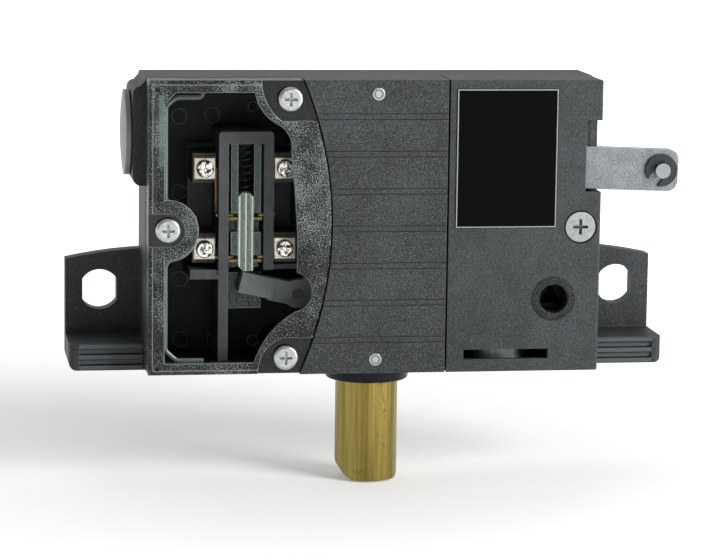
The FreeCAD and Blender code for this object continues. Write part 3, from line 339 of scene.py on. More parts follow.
def metal(name, colour, dull, rough, line=0.0004, along="Z", relief=0.00001, lines=0.6, marks=0.3,
          sunk=None, bright=0):
    """Bare or plated metal: lines of the width line, in metres, along one axis, and dull clouds 5 mm wide.
    Its recesses behind the plane sunk are darkened with painted shade, and where bright is set its edges
    carry a painted highlight."""
    material, tree, shader, place = started(name)
    stretch = {"X": (0.06, 1, 1), "Y": (1, 0.06, 1), "Z": (1, 1, 0.06), "": (1, 1, 1)}[along]
    drawn = put(tree, "ShaderNodeMapping", {"Scale": stretch}, {"Vector": place})
    streak = put(tree, "ShaderNodeTexNoise", {"Scale": 1 / line, "Detail": 4, "Roughness": 0.6},
                 {"Vector": drawn.outputs[0]})
    cloud = put(tree, "ShaderNodeTexNoise", {"Scale": 220, "Detail": 6, "Roughness": 0.65}, {"Vector": place})
    tone = put(tree, "ShaderNodeMath", {1: lines}, {0: streak.outputs[0]}, operation="MULTIPLY")
    stain = put(tree, "ShaderNodeMath", {1: marks}, {0: cloud.outputs[0], 2: tone.outputs[0]},
                operation="MULTIPLY_ADD")
    last = mottled(tree, colour, dull, stain.outputs[0])
    round_edge, painted_highlight = edge_rounding_and_highlight(tree, 0.0004 if bright else 0.0002, bright)
    # painted highlight along the edges where bright is set
    if bright:
        last = tinted(tree, last, "#f4f6f6", painted_highlight)
    if sunk is not None:
        # painted shade: the recess behind the plane sunk is darkened
        where = put(tree, "ShaderNodeSeparateXYZ", wires={0: place})
        recess_shade = put(tree, "ShaderNodeMapRange", {"From Min": sunk, "From Max": sunk + 0.0005, "To Max": 0.85},
                    {"Value": where.outputs[1]})
        last = tinted(tree, last, "#4c4f50", recess_shade.outputs[0])
    tree.links.new(last, shader.inputs["Base Color"])
    shine = put(tree, "ShaderNodeMapRange", {"From Min": 0.3, "From Max": 0.7, "To Min": rough - 0.06,
                "To Max": rough + 0.12}, {"Value": streak.outputs[0]})
    tree.links.new(shine.outputs[0], shader.inputs["Roughness"])
    bump = put(tree, "ShaderNodeBump", {"Strength": 0.5, "Distance": relief},
               {"Height": streak.outputs[0], "Normal": round_edge})
    tree.links.new(bump.outputs[0], shader.inputs["Normal"])
    shader.inputs["Metallic"].default_value = 1.0
    return material


rolled_brass = metal("contact_rolled_brass", "#a8935c", "#3e3520", 0.3, lines=0.9, marks=0.6)
dress(cad["fixed_contacts"], rolled_brass)
dress(cad["contact_bridges"], rolled_brass)

# ---------------------------------------------------------------- terminal screws and washers
# Small pan-head screws on square clamping washers hold the wires on the fixed contacts. They are
# steel, bright nickel plated and freshly driven.


def driven_nickel():
    """Bright nickel plate crumpled by the driver in dents 1.4 mm wide, which throw hard lights and darks; the
    colour is painted with dark and bright reflections that follow the same dents.
    """
    material, tree, shader, place = started("terminal_driven_nickel")
    crumple = put(tree, "ShaderNodeTexNoise", {"Scale": 700, "Detail": 2, "Roughness": 0.5}, {"Vector": place})
    # the colour swings from dark to bright with the dents: painted reflections
    painted_reflection = put(tree, "ShaderNodeMapRange", {"From Min": 0.4, "From Max": 0.56}, {"Value": crumple.outputs[0]})
    tree.links.new(mottled(tree, "#3a3733", "#f1eee6", painted_reflection.outputs[0]), shader.inputs["Base Color"])
    bump = put(tree, "ShaderNodeBump", {"Strength": 0.9, "Distance": 0.00025}, {"Height": crumple.outputs[0]})
    tree.links.new(bump.outputs[0], shader.inputs["Normal"])
    shader.inputs["Metallic"].default_value = 1.0
    shader.inputs["Roughness"].default_value = 0.16
    return material


dress(cad["terminal_screws"], driven_nickel())
dress(cad["terminal_washers"], metal("washer_bright_nickel", "#e4e1d8", "#77736a", 0.22, along="", marks=0.5))

# ---------------------------------------------------------------- plunger and its guides
# The plunger and the uprights beside it are clear polycarbonate mouldings, faintly green where they
# are thick. A small coil spring of blued wire over the plunger presses it down.


def clear_plastic(name, tint, alpha, rough, edge_alpha=0.9, pitch=0):
    """Clear moulding seen mostly at its edges, where it is denser and carries a painted highlight. Where pitch
    is set, upright walls inside it catch the light as thin painted highlight lines, one every pitch."""
    material, tree, shader, place = started(name)
    fine = put(tree, "ShaderNodeTexNoise", {"Scale": 900, "Detail": 2}, {"Vector": place})
    edge = edge_rounding_and_highlight(tree, 0.0003, 1.0, flat=0.995)[1]
    if pitch:
        across = put(tree, "ShaderNodeSeparateXYZ", wires={0: place})
        swing = put(tree, "ShaderNodeMath", {1: pitch / 2}, {0: across.outputs[0]}, operation="PINGPONG")
        wall = put(tree, "ShaderNodeMath", {1: 0.00022}, {0: swing.outputs[0]}, operation="LESS_THAN")
        edge = put(tree, "ShaderNodeMath", wires={0: wall.outputs[0], 1: edge}, operation="MAXIMUM").outputs[0]
    dense = put(tree, "ShaderNodeMapRange", {"To Min": alpha, "To Max": edge_alpha}, {"Value": edge})
    tree.links.new(dense.outputs[0], shader.inputs["Alpha"])
    tree.links.new(mottled(tree, tint, "#c4d2c6", edge), shader.inputs["Base Color"])
    shine = put(tree, "ShaderNodeMapRange", {"To Min": rough * 0.7, "To Max": rough * 1.4},
                {"Value": fine.outputs[0]})
    tree.links.new(shine.outputs[0], shader.inputs["Roughness"])
    shader.inputs["IOR"].default_value = 1.58
    return material


dress(cad["contact_plunger"], clear_plastic("plunger_clear_polycarbonate", "#859a8b", 0.5, 0.12, 0.98,
                                            pitch=0.00201))
smoky_green = clear_plastic("guide_clear_polycarbonate", "#4c625e", 0.5, 0.2, 0.8)
dress(cad["contact_guides"], smoky_green)
dress(cad["lower_guide"], smoky_green)


def coiled(node, material):
    """A merged copy of a coil spring, and the two ends of its axis."""
    low, high = (Vector(corner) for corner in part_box(node))
    middle = (low + high) / 2
    shape = cad[node].data.copy()
    shape.materials.clear()
    wire = bmesh.new()
    wire.from_mesh(shape)
    bmesh.ops.remove_doubles(wire, verts=wire.verts, dist=0.000002)
    for face in wire.faces:
        face.smooth = True
    wire.to_mesh(shape)
    wire.free()
    piece = bpy.data.objects.new(node + "_wire", shape)
    bpy.context.scene.collection.objects.link(piece)
    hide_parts(node)
    return dress(piece, material), (middle.x, middle.y, low.z), (middle.x, middle.y, high.z)


blued_wire = metal("plunger_blued_wire", "#3b3c40", "#1b1b1d", 0.35, along="")
plunger_coil, foot, head = coiled("plunger_spring", blued_wire)
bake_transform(plunger_coil)

# ---------------------------------------------------------------- contact rocker
# Grey acetal rocker that turns on a small blued steel pin in the housing. Its square head carries the
# plunger, and its corners carry a painted highlight.
dress(cad["contact_rocker"], pressed_plastic("rocker_grey_acetal", "#596161", "#6c7474", 0.5, edge=0.55))
dress(cad["contact_rocker_pin"], metal("rocker_pin_blued_steel", "#4a4c4e", "#2a2b2c", 0.4, along="Y"))

# ---------------------------------------------------------------- window cover
# Clear polycarbonate cap held by three screws: polished in the sunk window and in the screw pockets,
# spark-eroded on the raised rim, where it looks black with a pale stipple.
cover_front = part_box("contact_cover")[0][1]


def window_polycarbonate():
    """Clear where the moulding is sunk, stippled on the raised rim and its side walls, and painted with a
    highlight at its edges.
    The stipple is finer than the render shows, so its dots are drawn 0.4 mm wide, in clouds 9 mm wide."""
    material, tree, shader, place = started("cover_clear_polycarbonate")
    where = put(tree, "ShaderNodeSeparateXYZ", wires={0: place})
    rim = put(tree, "ShaderNodeMath", {1: cover_front + 0.00025}, {0: where.outputs[1]}, operation="LESS_THAN")
    normal = put(tree, "ShaderNodeSeparateXYZ",
                 wires={0: put(tree, "ShaderNodeNewGeometry").outputs["Normal"]})
    upright = put(tree, "ShaderNodeMath", wires={0: normal.outputs[1]}, operation="ABSOLUTE")
    side = put(tree, "ShaderNodeMath", {1: 0.6}, {0: upright.outputs[0]}, operation="LESS_THAN")
    matt = put(tree, "ShaderNodeMath", wires={0: rim.outputs[0], 1: side.outputs[0]}, operation="MAXIMUM")
    # the stipple is denser towards the right-hand band and thins out below the rocker
    grit = put(tree, "ShaderNodeTexNoise", {"Scale": 2500, "Detail": 1, "Roughness": 0.7}, {"Vector": place})
    slow = put(tree, "ShaderNodeTexNoise", {"Scale": 110, "Detail": 4, "Distortion": 0.6}, {"Vector": place})
    lean = put(tree, "ShaderNodeMapRange", {"From Min": -0.07, "From Max": -0.02, "To Min": -0.08,
               "To Max": -0.03}, {"Value": where.outputs[0]})
    low = put(tree, "ShaderNodeMapRange", {"From Min": 0.028, "From Max": 0.01, "To Max": -0.07},
              {"Value": where.outputs[2]})
    cloudy = put(tree, "ShaderNodeMapRange", {"From Min": 0.35, "From Max": 0.65, "To Min": -0.06,
                 "To Max": 0.06}, {"Value": slow.outputs[0]})
    band = put(tree, "ShaderNodeMath", {1: -0.04}, {0: where.outputs[0]}, operation="GREATER_THAN")
    leaning = put(tree, "ShaderNodeMath", wires={0: low.outputs[0], 1: band.outputs[0], 2: lean.outputs[0]},
                  operation="MULTIPLY_ADD")
    lift = put(tree, "ShaderNodeMath", wires={0: leaning.outputs[0], 1: cloudy.outputs[0]}, operation="ADD")
    level = put(tree, "ShaderNodeMath", wires={0: grit.outputs[0], 1: lift.outputs[0]}, operation="ADD")
    dot = put(tree, "ShaderNodeMapRange", {"From Min": 0.46, "From Max": 0.58}, {"Value": level.outputs[0]})
    frost = mottled(tree, "#17191b", "#8e9797", dot.outputs[0])
    # the wall's thick foot shows teal through the rim at its upper left
    shade = put(tree, "ShaderNodeMapRange", {"From Min": 0.35, "From Max": 0.65, "To Min": 0.35, "To Max": 0.95},
                {"Value": slow.outputs[0]})
    foot = put(tree, "ShaderNodeMath", wires={0: within(tree, place, (-68.75, -38.3, 43.2), (-67.2, -37.6, 65.5)),
               1: shade.outputs[0]}, operation="MULTIPLY")
    tealed = tinted(tree, frost, "#6b847f", foot.outputs[0])
    # a ledge inside the wall catches the light, drawn as a fine painted highlight line round the rim, 1.3 mm in
    # from its edge
    upright_line = within(tree, place, (-70.75, -38.3, -21.4), (-70.45, -37.6, 68.8))
    level_line = within(tree, place, (-70.75, -38.3, 68.5), (-30.0, -37.6, 68.8))
    low_line = within(tree, place, (-70.75, -38.3, -21.4), (-30.0, -37.6, -21.1))
    two = put(tree, "ShaderNodeMath", wires={0: upright_line, 1: level_line}, operation="MAXIMUM")
    painted_step_line = put(tree, "ShaderNodeMath", wires={0: two.outputs[0], 1: low_line}, operation="MAXIMUM")
    faint = put(tree, "ShaderNodeMath", {1: 0.55}, {0: painted_step_line.outputs[0]}, operation="MULTIPLY")
    stepped = tinted(tree, tealed, "#a5adac", faint.outputs[0])
    clear = put(tree, "ShaderNodeMix", {"A": linear("#0a0b0c")}, {"Factor": matt.outputs[0], "B": stepped},
                data_type="RGBA")
    # the cover's edges carry a painted highlight
    round_edge, edge = edge_rounding_and_highlight(tree, 0.0004, 0.8, sharp=0.86, samples=8)
    tree.links.new(tinted(tree, clear.outputs["Result"], "#a9b1b0", edge), shader.inputs["Base Color"])
    thick = put(tree, "ShaderNodeMix", {2: 0.78, 3: 0.96}, {0: dot.outputs[0]}, data_type="FLOAT")
    walls = put(tree, "ShaderNodeMath", {1: 0.97}, {0: side.outputs[0]}, operation="MULTIPLY")
    deep = put(tree, "ShaderNodeMath", wires={0: thick.outputs[0], 1: walls.outputs[0]}, operation="MAXIMUM")
    dense = put(tree, "ShaderNodeMath", wires={0: matt.outputs[0], 1: deep.outputs[0]}, operation="MULTIPLY")
    # the screw pockets stand on the housing's black walls, so they look nearly solid
    facing = put(tree, "ShaderNodeMath", {1: -0.6}, {0: normal.outputs[1]}, operation="LESS_THAN")
    sunk = put(tree, "ShaderNodeMath", {1: cover_front + 0.0016, 2: 0.0004}, {0: where.outputs[1]},
               operation="COMPARE")
    pocket = put(tree, "ShaderNodeMath", wires={0: facing.outputs[0], 1: sunk.outputs[0]}, operation="MULTIPLY")
    solid = put(tree, "ShaderNodeMath", {1: 0.85}, {0: pocket.outputs[0]}, operation="MULTIPLY")
    denser = put(tree, "ShaderNodeMath", wires={0: dense.outputs[0], 1: solid.outputs[0]}, operation="MAXIMUM")
    alpha = put(tree, "ShaderNodeMath", wires={0: denser.outputs[0], 1: edge}, operation="MAXIMUM")
    tree.links.new(alpha.outputs[0], shader.inputs["Alpha"])
    rough = put(tree, "ShaderNodeMix", {2: 0.05, 3: 0.45}, {0: matt.outputs[0]}, data_type="FLOAT")
    tree.links.new(rough.outputs[0], shader.inputs["Roughness"])
    strength = put(tree, "ShaderNodeMath", {1: 0.2}, {0: matt.outputs[0]}, operation="MULTIPLY")
    bump = put(tree, "ShaderNodeBump", {"Distance": 0.0001},
               {"Height": grit.outputs[0], "Strength": strength.outputs[0], "Normal": round_edge})
    tree.links.new(bump.outputs[0], shader.inputs["Normal"])
    shader.inputs["IOR"].default_value = 1.58
    shader.inputs["Specular IOR Level"].default_value = 0.3
    return material


dress(cad["contact_cover"], window_polycarbonate())

# ---------------------------------------------------------------- lip inside the window cover
# A thin wall moulded inside the cover follows the left half of the window and rings the left screw's
# column. It is clear and looks teal through the front.
lip_tree, source = geometry_tree("moulded_lip", {"height": 0.0012, "width": 0.0004, "turn": 0.0025})
line = put(lip_tree, "GeometryNodeMeshToCurve", wires={0: source.outputs["Geometry"]})
eased = put(lip_tree, "GeometryNodeFilletCurve", {"Count": 6, "Limit Radius": True},
            {"Curve": line.outputs[0], "Radius": source.outputs["turn"]}, mode="POLY")
wall = put(lip_tree, "GeometryNodeCurvePrimitiveQuadrilateral", wires={"Width": source.outputs["width"],
           "Height": source.outputs["height"]}, mode="RECTANGLE")
swept = put(lip_tree, "GeometryNodeCurveToMesh", {"Fill Caps": True}, {"Curve": eased.outputs[0],
            "Profile Curve": wall.outputs[0]})
closed(lip_tree, source, swept.outputs[0])

# the lip's line in millimetres, across and up, round the screw's column
lip_y, boss, boss_radius = -28.6, (-64.8, 21.4), 8.8
around = [(boss[0] + boss_radius * math.cos(math.radians(angle)),
           boss[1] + boss_radius * math.sin(math.radians(angle))) for angle in range(84, -85, -12)]
lip_line = [(-54.1, 65.6), (-54.1, 63.9), (-62.6, 63.9), (-65.8, 61.2), (-65.8, 31.2), *around,
            (-65.8, 11.6), (-65.8, -16.3), (-62.2, -19.6), (-53.7, -19.6)]
path = bpy.data.meshes.new("lip_path")
path.from_pydata([(x / 1000, lip_y / 1000, z / 1000) for x, z in lip_line],
                 [(i, i + 1) for i in range(len(lip_line) - 1)], [])
teal_clear = clear_plastic("lip_clear_polycarbonate", "#71807e", 0.75, 0.15, 0.95)
grown("cover_lip", path, lip_tree, teal_clear, "housing", "clear_cover", height=0.0014, width=0.00035)

# ---------------------------------------------------------------- seals
# A black rubber cord lies in the cover's groove and keeps dust out of the contact room. A flat washer
# of grey rubber is pressed under the cable entry's plug. Both are dull.
dress(cad["contact_cover_seal"], pressed_plastic("seal_black_rubber", "#161718", "#202122", 0.7))
dress(cad["cable_entry_seal"], pressed_plastic("entry_grey_rubber", "#3a3d3f", "#4a4d4f", 0.7))

# ---------------------------------------------------------------- cover screws and rivets
# Three M4 pan-head screws and an M5 countersunk one, with cross recesses, zinc plated and passivated.
# Two small round pins with a closing groove hold the middle cover.
pan_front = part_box("contact_cover_screws")[0][1]
# the cross recesses are darkened with painted shade behind the plane sunk
dress(cad["contact_cover_screws"], metal("screw_bright_zinc", "#e2e6e3", "#7b807f", 0.3, line=0.0008, along="",
                                         relief=0.00012, lines=0.75, marks=0.35, sunk=pan_front + 0.0012))
side_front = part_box("lever_cover_screw")[0][1]
dress(cad["lever_cover_screw"], metal("screw_passivated_zinc", "#c3c8c6", "#666a69", 0.38, line=0.0008,
                                      along="", relief=0.0001, lines=0.75, marks=0.35, sunk=side_front + 0.0006))


def rolled_pin():
    """Zinc-plated pin heads with a groove round their middles, darkened with painted shade, and clouds 1 mm wide.
    """
    low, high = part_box("ribbed_cover_rivets")
    material, tree, shader, place = started("rivet_rolled_zinc")
    where = put(tree, "ShaderNodeSeparateXYZ", wires={0: place})
    middle = (low[0] + high[0]) / 2
    radius = (high[0] - low[0]) / 2
    across = put(tree, "ShaderNodeMath", {1: middle}, {0: where.outputs[0]}, operation="SUBTRACT")
    reach = []
    for level in (low[2] + radius, high[2] - radius):
        up = put(tree, "ShaderNodeMath", {1: level}, {0: where.outputs[2]}, operation="SUBTRACT")
        flat = put(tree, "ShaderNodeCombineXYZ", wires={0: across.outputs[0], 2: up.outputs[0]})
        reach.append(put(tree, "ShaderNodeVectorMath", wires={0: flat.outputs[0]},
                         operation="LENGTH").outputs["Value"])
    near = put(tree, "ShaderNodeMath", wires={0: reach[0], 1: reach[1]}, operation="MINIMUM")
    # the groove is darkened with painted shade
    groove = put(tree, "ShaderNodeMath", {1: radius * 0.62, 2: radius * 0.14}, {0: near.outputs[0]},
                 operation="COMPARE")
    cloud = put(tree, "ShaderNodeTexNoise", {"Scale": 900, "Detail": 3}, {"Vector": place})
    zinc = mottled(tree, "#8d9091", "#cdd0d0", cloud.outputs[0])
    tree.links.new(tinted(tree, zinc, "#7b7f80", groove.outputs[0]), shader.inputs["Base Color"])
    shader.inputs["Metallic"].default_value = 1.0
    shader.inputs["Roughness"].default_value = 0.35
    return material


dress(cad["ribbed_cover_rivets"], rolled_pin())

# ---------------------------------------------------------------- locking bolt
# Round brass bar, drawn, cut to length and ramped, that slides in the collar. It is dulled by handling.
# The spring round its guide presses it out of the housing.


def drawn_brass():
    """Yellow-green brass with drawing lines 1 and 4 mm wide along the bar, a broken seam and brown spots."""
    material, tree, shader, place = started("bolt_drawn_brass")
    drawn = put(tree, "ShaderNodeMapping", {"Scale": (1, 1, 0.035)}, {"Vector": place})
    streak = put(tree, "ShaderNodeTexNoise", {"Scale": 900, "Detail": 4, "Roughness": 0.55},
                 {"Vector": drawn.outputs[0]})
    broad = put(tree, "ShaderNodeTexNoise", {"Scale": 260, "Detail": 2}, {"Vector": drawn.outputs[0]})
    spots = put(tree, "ShaderNodeTexNoise", {"Scale": 420, "Detail": 5, "Roughness": 0.7, "Distortion": 0.4},
                {"Vector": place})
    tone = put(tree, "ShaderNodeMath", wires={0: streak.outputs[0], 1: broad.outputs[0]}, operation="ADD")
    line = put(tree, "ShaderNodeMapRange", {"From Min": 0.8, "From Max": 1.25}, {"Value": tone.outputs[0]})
    brass = mottled(tree, "#a19150", "#7b6c36", line.outputs[0])
    brown = put(tree, "ShaderNodeMapRange", {"From Min": 0.6, "From Max": 0.7, "To Max": 0.6},
                {"Value": spots.outputs[0]})
    marked = tinted(tree, brass, "#6a5426", brown.outputs[0])
    # a seam wanders down the front, darker and broken
    where = put(tree, "ShaderNodeSeparateXYZ", wires={0: place})
    slow = put(tree, "ShaderNodeTexNoise", {"Scale": 130, "Detail": 4}, {"Vector": place})
    drift = put(tree, "ShaderNodeMath", {1: 0.006, 2: 0.0012}, {0: slow.outputs[0]}, operation="MULTIPLY_ADD")
    away = put(tree, "ShaderNodeMath", wires={0: where.outputs[0], 1: drift.outputs[0]}, operation="SUBTRACT")
    near = put(tree, "ShaderNodeMath", {1: 0.0, 2: 0.00022}, {0: away.outputs[0]}, operation="COMPARE")
    broken = put(tree, "ShaderNodeMapRange", {"From Min": 0.45, "From Max": 0.6, "To Max": 0.5},
                 {"Value": spots.outputs[0]})
    seam = put(tree, "ShaderNodeMath", wires={0: near.outputs[0], 1: broken.outputs[0]}, operation="MULTIPLY")
    tree.links.new(tinted(tree, marked, "#5a4a24", seam.outputs[0]), shader.inputs["Base Color"])
    shine = put(tree, "ShaderNodeMapRange", {"From Min": 0.35, "From Max": 0.65, "To Min": 0.26, "To Max": 0.44},
                {"Value": broad.outputs[0]})
    tree.links.new(shine.outputs[0], shader.inputs["Roughness"])
    round_edge = put(tree, "ShaderNodeBevel", {"Radius": 0.0004}, samples=6)
    bump = put(tree, "ShaderNodeBump", {"Strength": 0.5, "Distance": 0.00006},
               {"Height": streak.outputs[0], "Normal": round_edge.outputs[0]})
    tree.links.new(bump.outputs[0], shader.inputs["Normal"])
    shader.inputs["Metallic"].default_value = 1.0
    return material


dress(cad["locking_bolt"], drawn_brass())

# The spring stands under the housing's roof.
spring_wire = metal("spring_drawn_wire", "#a6a8aa", "#55575a", 0.3, along="")
bolt_coil, foot, head = coiled("bolt_spring", spring_wire)
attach(bolt_coil, "housing")
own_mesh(bolt_coil)

# ---------------------------------------------------------------- guide collar and spring guide
# The collar under the housing guides the bolt, and the rod above it guides the spring. Both are turned
# from black acetal, smooth with a soft shine.
black_acetal = pressed_plastic("collar_black_acetal", "#05080b", "#0b0f13", 0.3, gloss=0.2)
dress(cad["guide_collar"], black_acetal)
dress(cad["spring_guide"], black_acetal)

# ---------------------------------------------------------------- ribbed middle cover
# Glass-filled nylon moulding like the housing, a shade lighter and more sharply grained. Seven plain
# bands on its front are each framed by a shallow groove. Two pins hold it.
dress(cad["ribbed_cover"], glass_filled_nylon("middle_glass_filled_nylon", "#2e3233", "#8f9495", flecks=0.34))

# ---------------------------------------------------------------- right cover
# Glass-filled nylon moulding with the lever's notch, the drum's slot and the release hole. One
# countersunk screw holds it to the housing.
screw_low, screw_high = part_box("lever_cover_screw")


def screw_gap_shadow(tree, place, last, relief):
    """The countersunk head sits in a narrow gap in the moulding round it, whose shadow is painted as a dark ring.
    """
    middle, radius = (screw_low + screw_high) / 2, (screw_high[0] - screw_low[0]) / 2
    flat = put(tree, "ShaderNodeVectorMath", {1: (1, 0, 1)}, {0: place}, operation="MULTIPLY")
    away = put(tree, "ShaderNodeVectorMath", {1: (middle[0], 0, middle[2])}, {0: flat.outputs[0]},
               operation="DISTANCE")
    # painted shadow in the gap round the head
    gap = put(tree, "ShaderNodeMath", {1: radius + 0.0002, 2: 0.00035}, {0: away.outputs["Value"]},
              operation="COMPARE")
    return tinted(tree, last, "#060708", gap.outputs[0])


right_nylon = glass_filled_nylon("right_glass_filled_nylon", "#323738", "#8f9495", flecks=0.2, crisp=0.2,
                                 marks=screw_gap_shadow)
dress(cad["lever_cover"], right_nylon)

# Behind the lever the side wall goes on to the parting line, so the notch is only as deep as the lever.
lever_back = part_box("actuating_lever")[1][1]
cover_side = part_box("lever_cover")[1][0]
notch_left, notch_low, notch_top, parting_line = 0.0666, 0.0345, 0.0575, -0.0206
near = Vector((notch_left, lever_back + 0.0004, notch_low))
away = Vector((cover_side - 0.0001, parting_line, notch_top))
wall = bmesh.new()
bmesh.ops.create_cube(wall, size=1.0, matrix=Matrix.Translation((near + away) / 2)
                      @ Matrix.Diagonal((*(away - near), 1)))
bmesh.ops.bevel(wall, geom=wall.edges[:], offset=0.0002, segments=2, affect="EDGES")
wall_mesh = bpy.data.meshes.new("notch_wall")
wall.to_mesh(wall_mesh)
wall.free()
notch_wall = bpy.data.objects.new("notch_wall", wall_mesh)
bpy.context.scene.collection.objects.link(notch_wall)
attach(notch_wall, "housing")
dress(notch_wall, right_nylon)

# ---------------------------------------------------------------- name plate
# Thin aluminium plate, anodised black and stuck on the front of the right cover. It is left bare but
# for a fine pale line along its edge.


def bare_plate():
    """Deep satin black, hazy in patches 1.4 mm wide, with the pale line 0.3 mm in from the edge."""
    low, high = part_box("name_plate")
    material, tree, shader, place = started("plate_black_anodised")
    where = put(tree, "ShaderNodeSeparateXYZ", wires={0: place})
    middle = (low + high) / 2
    reach = []
    for axis in (0, 2):
        away = put(tree, "ShaderNodeMath", {1: middle[axis]}, {0: where.outputs[axis]}, operation="SUBTRACT")
        size = put(tree, "ShaderNodeMath", wires={0: away.outputs[0]}, operation="ABSOLUTE")
        reach.append(put(tree, "ShaderNodeMath", {1: (high[axis] - low[axis]) / 2}, {0: size.outputs[0]},
                         operation="SUBTRACT").outputs[0])
    edge = put(tree, "ShaderNodeMath", wires={0: reach[0], 1: reach[1]}, operation="MAXIMUM")
    line = put(tree, "ShaderNodeMath", {1: -0.00032, 2: 0.00017}, {0: edge.outputs[0]}, operation="COMPARE")
    haze = put(tree, "ShaderNodeTexNoise", {"Scale": 700, "Detail": 2}, {"Vector": place})
    black = mottled(tree, "#010102", "#040405", haze.outputs[0])
    tree.links.new(tinted(tree, black, "#a4a7a8", line.outputs[0]), shader.inputs["Base Color"])
    shine = put(tree, "ShaderNodeMapRange", {"To Min": 0.3, "To Max": 0.4}, {"Value": haze.outputs[0]})
    tree.links.new(shine.outputs[0], shader.inputs["Roughness"])
    shader.inputs["Specular IOR Level"].default_value = 0.05
    return material


dress(cad["name_plate"], bare_plate())

# ---------------------------------------------------------------- release ring and shaft
# A black nylon ring sits in the cover round the key hole. The darkened steel shaft behind it
# has a three-cornered socket, and its sheared arm lifts the bolt.
plated_pin = metal("pin_zinc_plated_steel", "#a9acad", "#5d6062", 0.3, along="Y")
dress(cad["release_ring"], glass_filled_nylon("ring_black_nylon", "#0d0f10", "#6c7274", flecks=0.5, edge=0.25))
dress(cad["release_shaft"], metal("shaft_darkened_steel", "#141415", "#08080a", 0.4, along="Y"))
sheared_steel = metal("arm_sheared_steel", "#8f9192", "#5c5e60", 0.4, along="X")
dress(cad["release_arm"], sheared_steel)
dress(cad["release_spigot"], plated_pin)

# ---------------------------------------------------------------- adjusting drum
# Bright steel drum, turned with fine rings, that sits on an upright steel axle. It is seen and turned
# through the slot at the bottom of the right cover.
dress(cad["adjusting_drum"], metal("drum_turned_steel", "#c9d0d0", "#4c5252", 0.5, line=0.0016, along="Z",
                                   lines=0.9))
dress(cad["drum_axle"], plated_pin)

# ---------------------------------------------------------------- actuating lever and its pins
# Strip of zinc-plated steel, sheared and punched, with a matt spangled face; its edges carry a painted highlight.
# It turns on a plated pin and carries one at its free end, each held by a blackened snap ring.
dress(cad["actuating_lever"], metal("lever_zinc_plated_strip", "#b9bebe", "#565c60", 0.42, line=0.0006,
                                    along="", relief=0.00008, lines=0.95, marks=0.5, bright=0.9))
for name in ("drive_pin", "lever_pivot_pin", "lever_end_pin", "lift_rocker_pin"):
    dress(cad[name], plated_pin)
black_oxide = metal("ring_black_oxide", "#4a4d4f", "#1c1d1f", 0.4, along="", line=0.0008)
dress(cad["lever_pivot_ring"], black_oxide)
dress(cad["lever_end_ring"], black_oxide)
dress(cad["lift_rocker"], sheared_steel)

# ---------------------------------------------------------------- cable entry plug
# Grey nylon plug with a low domed cap, moulded smooth and screwed into the pad on the left wall until
# a cable is led in there. Part of its pale grey is painted light, for the light that falls on it from the
# left, and its corners carry a painted highlight.
dress(cad["cable_entry_plug"], pressed_plastic("entry_nylon_grey_and_painted_light", "#8d9192", "#9b9fa0", 0.5, edge=0.4))

# ---------------------------------------------------------------- camera, lamps and floor
# A long lens a little to the left and above; a soft lamp at the right, weak ones at the left and above,
# and a room that is white behind the object and dim in front of it, over a sheet of white paper.
eye = bpy.data.cameras.new("camera")
camera = bpy.data.objects.new("camera", eye)
bpy.context.scene.collection.objects.link(camera)
turn_left, look_down, roll, far = math.radians(-8.8), math.radians(8.8), math.radians(0.75), 0.95
back = Vector((math.sin(turn_left) * math.cos(look_down), -math.cos(turn_left) * math.cos(look_down),
               math.sin(look_down)))
aim = Vector((-0.0052, -0.038, 0.0071))
camera.rotation_mode = "QUATERNION"
camera.location = aim + back * far
camera.rotation_quaternion = (-back).to_track_quat("-Z", "Y") @ Matrix.Rotation(roll, 3, "Z").to_quaternion()
eye.lens, eye.sensor_width = 150.8, 36
eye.clip_start, eye.clip_end = 0.05, 20
bpy.context.scene.camera = camera


def softbox(name, place, target, size, power):
    """A rectangular lamp at a place, aimed at a target."""
    lamp = bpy.data.lights.new(name, "AREA")
    lamp.shape, lamp.size, lamp.size_y, lamp.energy = "RECTANGLE", size[0], size[1], power
    holder = bpy.data.objects.new(name, lamp)
    bpy.context.scene.collection.objects.link(holder)
    holder.location = place
    holder.rotation_euler = (Vector(target) - Vector(place)).to_track_quat("-Z", "Y").to_euler()


softbox("right_softbox", (0.78, -0.7, 0.42), (0.03, 0, 0.02), (0.5, 0.55), 13.2)
softbox("left_softbox", (-0.9, 0.02, 0.2), (-0.05, 0, 0.02), (0.4, 0.6), 0.6)
softbox("top_softbox", (-0.2, -0.1, 0.9), (0, 0, 0), (0.6, 0.5), 0.6)

world = bpy.data.worlds.new("room")
bpy.context.scene.world = world
world.use_nodes = True
sky = world.node_tree
sky.nodes.clear()
aimed = put(sky, "ShaderNodeSeparateXYZ", wires={0: put(sky, "ShaderNodeTexCoord").outputs["Generated"]})
depth = put(sky, "ShaderNodeMapRange", {"From Min": -0.25, "From Max": 0.35, "To Min": 0.2, "To Max": 1.0},
            {"Value": aimed.outputs[1]})
# less light comes from above, so the upward faces stay dark
height = put(sky, "ShaderNodeMapRange", {"From Min": 0.2, "To Min": 1.0, "To Max": 0.35},
             {"Value": aimed.outputs[2]})
dimmed = put(sky, "ShaderNodeMath", wires={0: depth.outputs[0], 1: height.outputs[0]}, operation="MULTIPLY")
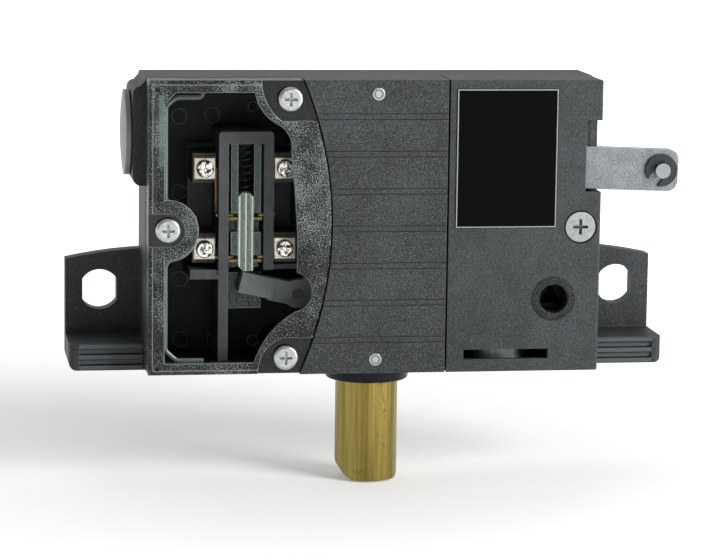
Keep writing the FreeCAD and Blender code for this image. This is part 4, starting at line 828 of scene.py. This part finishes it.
# the eye and clear plastic see a white room, and polished metal sees it a little dimmer in front
ray = put(sky, "ShaderNodeLightPath")
clear_view = put(sky, "ShaderNodeMath", wires={0: ray.outputs["Is Camera Ray"],
                 1: ray.outputs["Is Transmission Ray"]}, operation="MAXIMUM")
mirrored = put(sky, "ShaderNodeMath", {1: 0.35}, {0: ray.outputs["Is Glossy Ray"]}, operation="MULTIPLY")
shown = put(sky, "ShaderNodeMath", wires={0: clear_view.outputs[0], 1: mirrored.outputs[0]},
            operation="MAXIMUM")
level = put(sky, "ShaderNodeMath", wires={0: dimmed.outputs[0], 1: shown.outputs[0]}, operation="MAXIMUM")
glow = put(sky, "ShaderNodeBackground", {"Color": linear("#ffffff")}, {"Strength": level.outputs[0]})
put(sky, "ShaderNodeOutputWorld", wires={"Surface": glow.outputs[0]})

floor_mesh = bpy.data.meshes.new("floor")
reach, depth = 6.0, cad_low[2] - 0.0005
floor_mesh.from_pydata([(-reach, -reach, depth), (reach, -reach, depth), (reach, reach, depth),
                        (-reach, reach, depth)], [], [(0, 1, 2, 3)])
floor = bpy.data.objects.new("floor", floor_mesh)
bpy.context.scene.collection.objects.link(floor)
paper, tree, shader, place = started("floor_white_paper")
fibre = put(tree, "ShaderNodeTexNoise", {"Scale": 40}, {"Vector": place})
tree.links.new(mottled(tree, "#f6f6f6", "#fbfbfb", fibre.outputs[0]), shader.inputs["Base Color"])
shader.inputs["Roughness"].default_value = 0.9
shader.inputs["Specular IOR Level"].default_value = 0.1
# away from the object the sheet runs out into the white of the room
where = put(tree, "ShaderNodeVectorMath", wires={0: place}, operation="LENGTH")
ray = put(tree, "ShaderNodeLightPath")
fade = put(tree, "ShaderNodeMapRange", {"From Min": 0.1, "From Max": 0.6, "To Min": 0.2},
           {"Value": where.outputs["Value"]})
direct = put(tree, "ShaderNodeMath", wires={0: ray.outputs["Is Camera Ray"],
             1: ray.outputs["Is Transmission Ray"]}, operation="MAXIMUM")
seen = put(tree, "ShaderNodeMath", wires={0: direct.outputs[0], 1: ray.outputs["Is Glossy Ray"]},
           operation="MAXIMUM")
lit = put(tree, "ShaderNodeMath", wires={0: fade.outputs[0], 1: seen.outputs[0]}, operation="MULTIPLY")
tree.links.new(lit.outputs[0], shader.inputs["Emission Strength"])
shader.inputs["Emission Color"].default_value = linear("#ffffff")
floor_mesh.materials.append(paper)

bpy.context.scene.view_settings.view_transform = "Standard"
